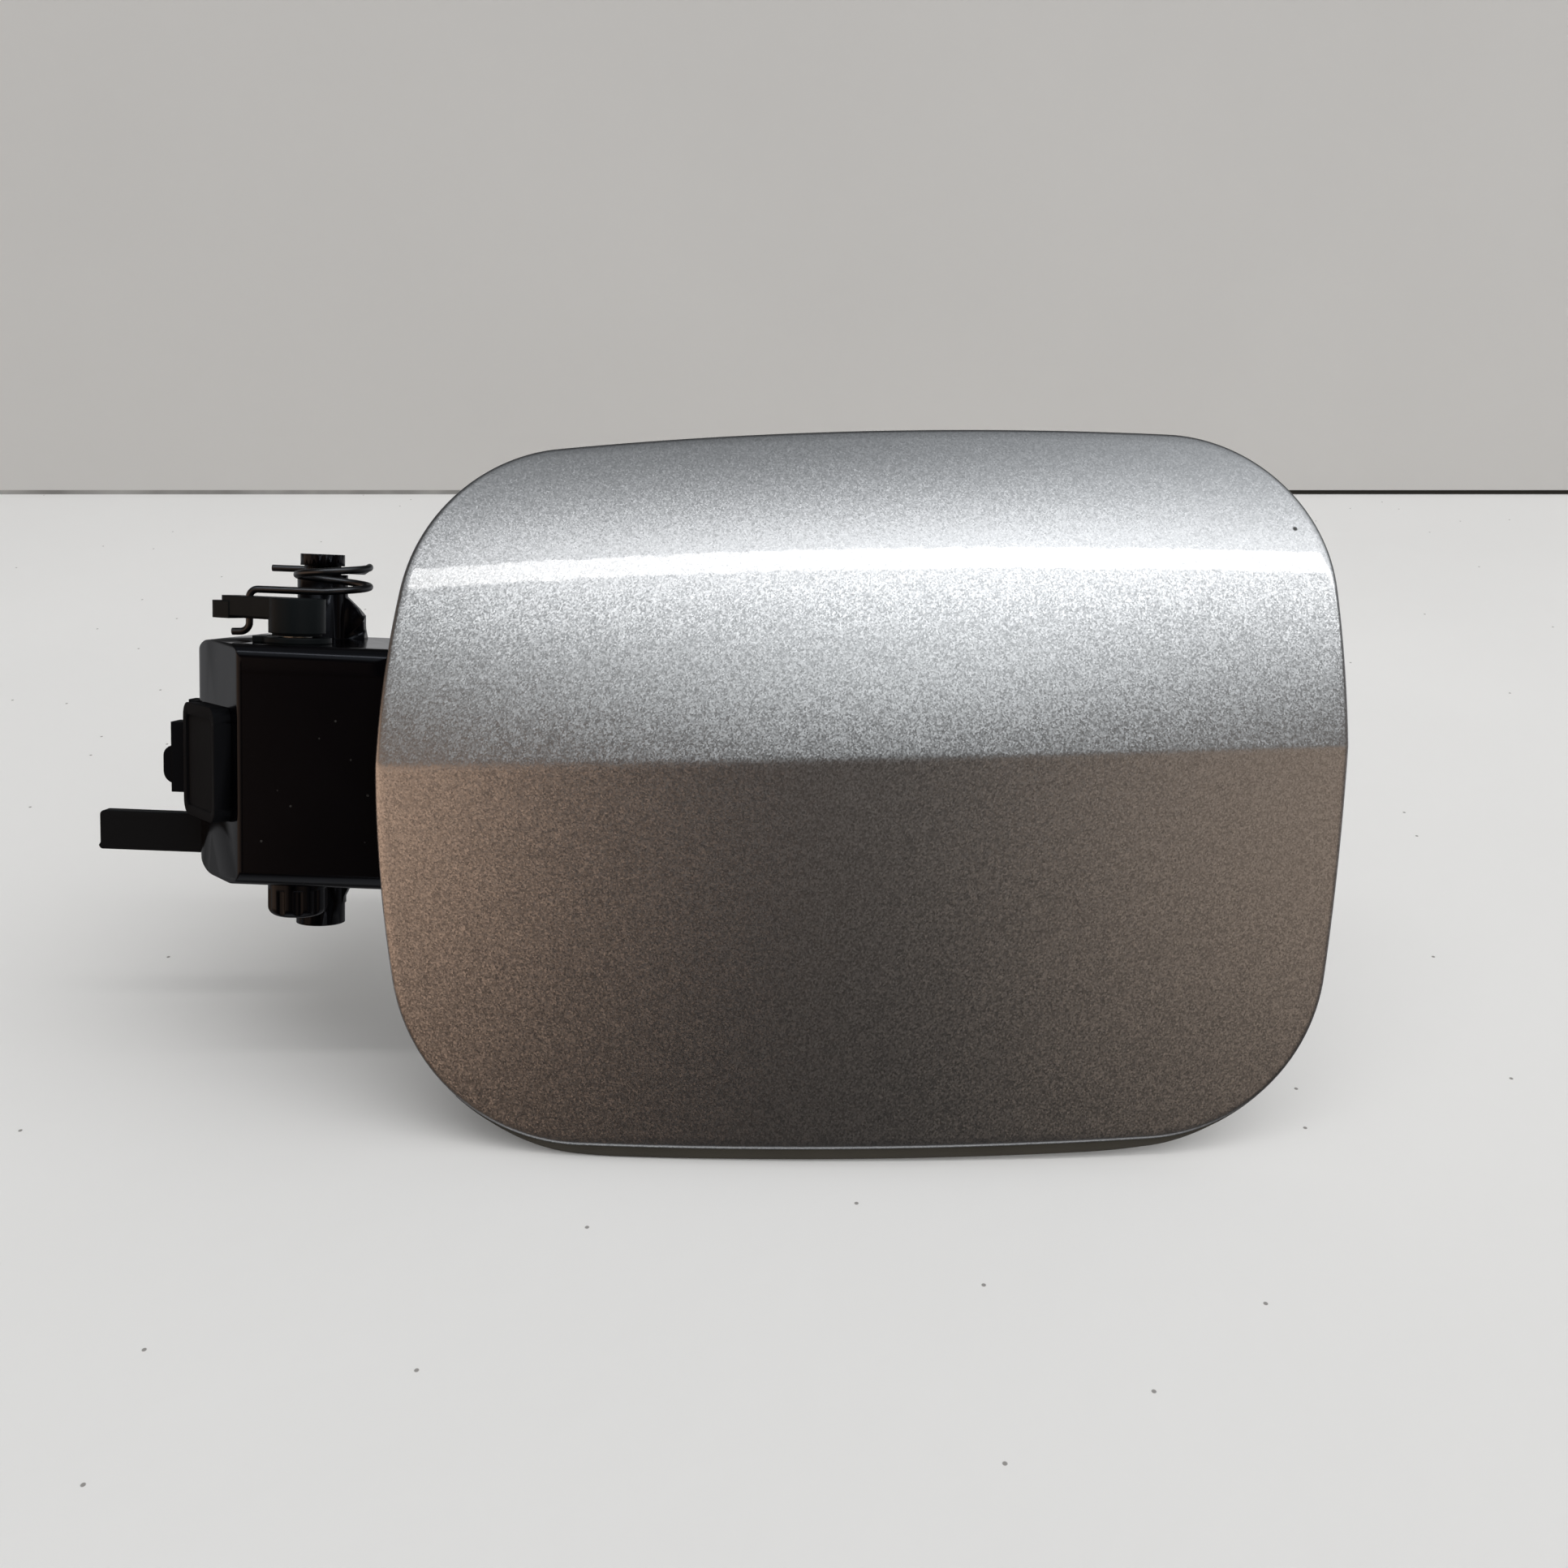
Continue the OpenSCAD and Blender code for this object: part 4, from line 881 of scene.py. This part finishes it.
def housing_move(x, y, z):
    """Front corner pushed out to the mouth's edge, recess raised, and the rib's foot drawn in."""
    slant_x = SLANT_X + CORNER_SLOPE * (y - HOUSING_FRONT)
    if abs(y - RECESS_FLOOR) < FLAT_WITHIN:
        y -= RECESS_RISE
    at_corner = y < FRONT_WALL_Y or x > slant_x - SLANT_SLACK
    if x > TURN_X and y < CORNER_BACK_Y and at_corner:
        x = min(MOUTH_X, TURN_X + (x - TURN_X) * CORNER_STRETCH)
    elif z > HOUSING_TOP - FLAT_WITHIN and RIB_X < x < RIB_X + RIB_FOOT and abs(y - RIB_Y) < RIB_HALF:
        x = RIB_X + FOOT_LEFT * (x - RIB_X)
    return x, y, z


BEVEL_FROM, BEVEL_TO = Vector((-7.8, -49.0)), Vector((-22.5, -31.0))
PAD_HALF, PAD_SHARE = 10.0, 0.91
POCKET_FLOOR, POCKET_RISE = 2.55, 0.55
POCKET_WITHIN = 0.05


def pad_move(x, y, z):
    """Pad drawn in towards its left end, its pocket's floor raised."""
    along = (BEVEL_TO - BEVEL_FROM).normalized()
    out = Vector((along.y, -along.x))
    if out.y > 0:
        out = -out
    spot = Vector((x, y)) - (BEVEL_FROM + BEVEL_TO) / 2
    run, height = spot.dot(along), spot.dot(out)
    run = PAD_HALF - (PAD_HALF - run) * PAD_SHARE
    if abs(height - POCKET_FLOOR) < POCKET_WITHIN:
        height += POCKET_RISE
    spot = (BEVEL_FROM + BEVEL_TO) / 2 + along * run + out * height
    return spot.x, spot.y, z


housing_shell = reshaped("housing_shell", "hinge_housing", housing_move)
pad_shell = reshaped("pad_shell", "side_retainer", pad_move)

# %% [markdown]
# ## The over-centre spring
# One length of steel wire: a hook below the lever, a leg up through the lever's hole, about one and a
# third turns, then back and round behind the neck of the post. The CAD wire has eight flat sides and
# widens in its second turn; here it is round, and its turns keep one radius as in the photograph. A poly
# curve with a bevel follows the route and is made a mesh.

# %% Route of the wire, in mm from the hinge axis
HINGE_BACK = 36.0
WIRE_R = 0.75
COIL_AT, COIL_R = Vector((4.0, 12.0)), 7.4
TURNS, TURN_STEP = 470, 5
HOLE_R, HOLE_AT = 12.6, math.radians(156)
HOOK = Vector((HOLE_R * math.cos(HOLE_AT), HOLE_R * math.sin(HOLE_AT)))
LEVER_LOW = 29.4
WIRE_LOW, WIRE_HIGH, NECK_HEIGHT = 34.95, 40.3, 39.25
HOOK_R, BEND_R = 2.0, 1.8
HOOK_STEPS, BEND_STEPS, LEG_STEPS = 8, 10, 6
HOOK_TAIL, HOOK_LOW, HOOK_BEND = 3.6, 3.35, 1.3
BACK_R, BACK_Y, BACK_STEPS = 6.5, 32.8, 8
FREE_END_XS = (-2, -7, -12, -15.7)


def coil_point(angle):
    """A point of the turns, which climb evenly."""
    a = math.radians(angle)
    height = WIRE_LOW + (WIRE_HIGH - WIRE_LOW) * angle / TURNS
    return Vector((COIL_AT.x + COIL_R * math.sin(a), COIL_AT.y - COIL_R * math.cos(a), height))


def bend(centre, radius, start, end, steps):
    """Points of an upright bend above the hook's line."""
    angles = [math.radians(start + (end - start) * k / steps) for k in range(steps + 1)]
    return [Vector((centre[0] + radius * math.cos(a), HOOK.y, centre[1] + radius * math.sin(a)))
            for a in angles]


def away_back(leave):
    """Straight on from the last turn, then round behind the neck of the post."""
    heading_back = math.radians(TURNS - 360)
    run_y = BACK_Y - BACK_R * (1 + math.cos(heading_back)) - leave.y
    run = Vector((run_y / math.tan(heading_back), run_y, NECK_HEIGHT - leave.z))
    straight = [leave + run * k / BACK_STEPS for k in range(1, BACK_STEPS + 1)]
    bend_at = straight[-1] - Vector((BACK_R * math.sin(heading_back), -BACK_R * math.cos(heading_back), 0))
    angles = [heading_back + (math.pi - heading_back) * k / BACK_STEPS for k in range(1, BACK_STEPS + 1)]
    return straight + [bend_at + Vector((BACK_R * math.sin(a), -BACK_R * math.cos(a), 0)) for a in angles]


wire_route = [Vector((HOOK.x - HOOK_TAIL, HOOK.y, LEVER_LOW - HOOK_LOW))]
wire_route += bend((HOOK.x - HOOK_R, LEVER_LOW - HOOK_BEND), HOOK_R, -90, 0, HOOK_STEPS)
leg_top = bend((HOOK.x + BEND_R, WIRE_LOW - BEND_R), BEND_R, 180, 90, BEND_STEPS)
wire_route += leg_top
wire_route += [leg_top[-1].lerp(coil_point(0), k / LEG_STEPS) for k in range(1, LEG_STEPS)]
wire_route += [coil_point(angle) for angle in range(0, TURNS + 1, TURN_STEP)]
wire_route += away_back(wire_route[-1])
wire_route += [Vector((x, BACK_Y, NECK_HEIGHT)) for x in FREE_END_XS]
print("wire:", len(wire_route), "points")


# %% Wire mesh
def wire_piece(name, route, radius, finish):
    """A round wire along a route, as a mesh with closed ends."""
    curve = bpy.data.curves.new(name, "CURVE")
    curve.dimensions = "3D"
    line = curve.splines.new("POLY")
    line.points.add(len(route) - 1)
    for point, spot in zip(line.points, route):
        point.co = (*((spot - Vector((0, HINGE_BACK, 0))) * MM), 1)
    curve.bevel_depth = radius * MM
    curve.bevel_resolution = 4
    curve.use_fill_caps = True
    helper = bpy.data.objects.new(name + "_curve", curve)
    bpy.context.scene.collection.objects.link(helper)
    bpy.context.view_layer.update()
    bm = bmesh.new()
    bm.from_mesh(helper.evaluated_get(bpy.context.evaluated_depsgraph_get()).to_mesh())
    bpy.data.objects.remove(helper)
    bmesh.ops.remove_doubles(bm, verts=list(bm.verts), dist=WELD)
    bmesh.ops.recalc_face_normals(bm, faces=list(bm.faces))
    made = object_from(bm, name, finish)
    smoothed(made, 50)
    return made


spring_wire = wire_piece("spring_wire", wire_route, WIRE_R, FINISHES["spring_steel"])
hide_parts("over_centre_spring")
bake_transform(spring_wire)
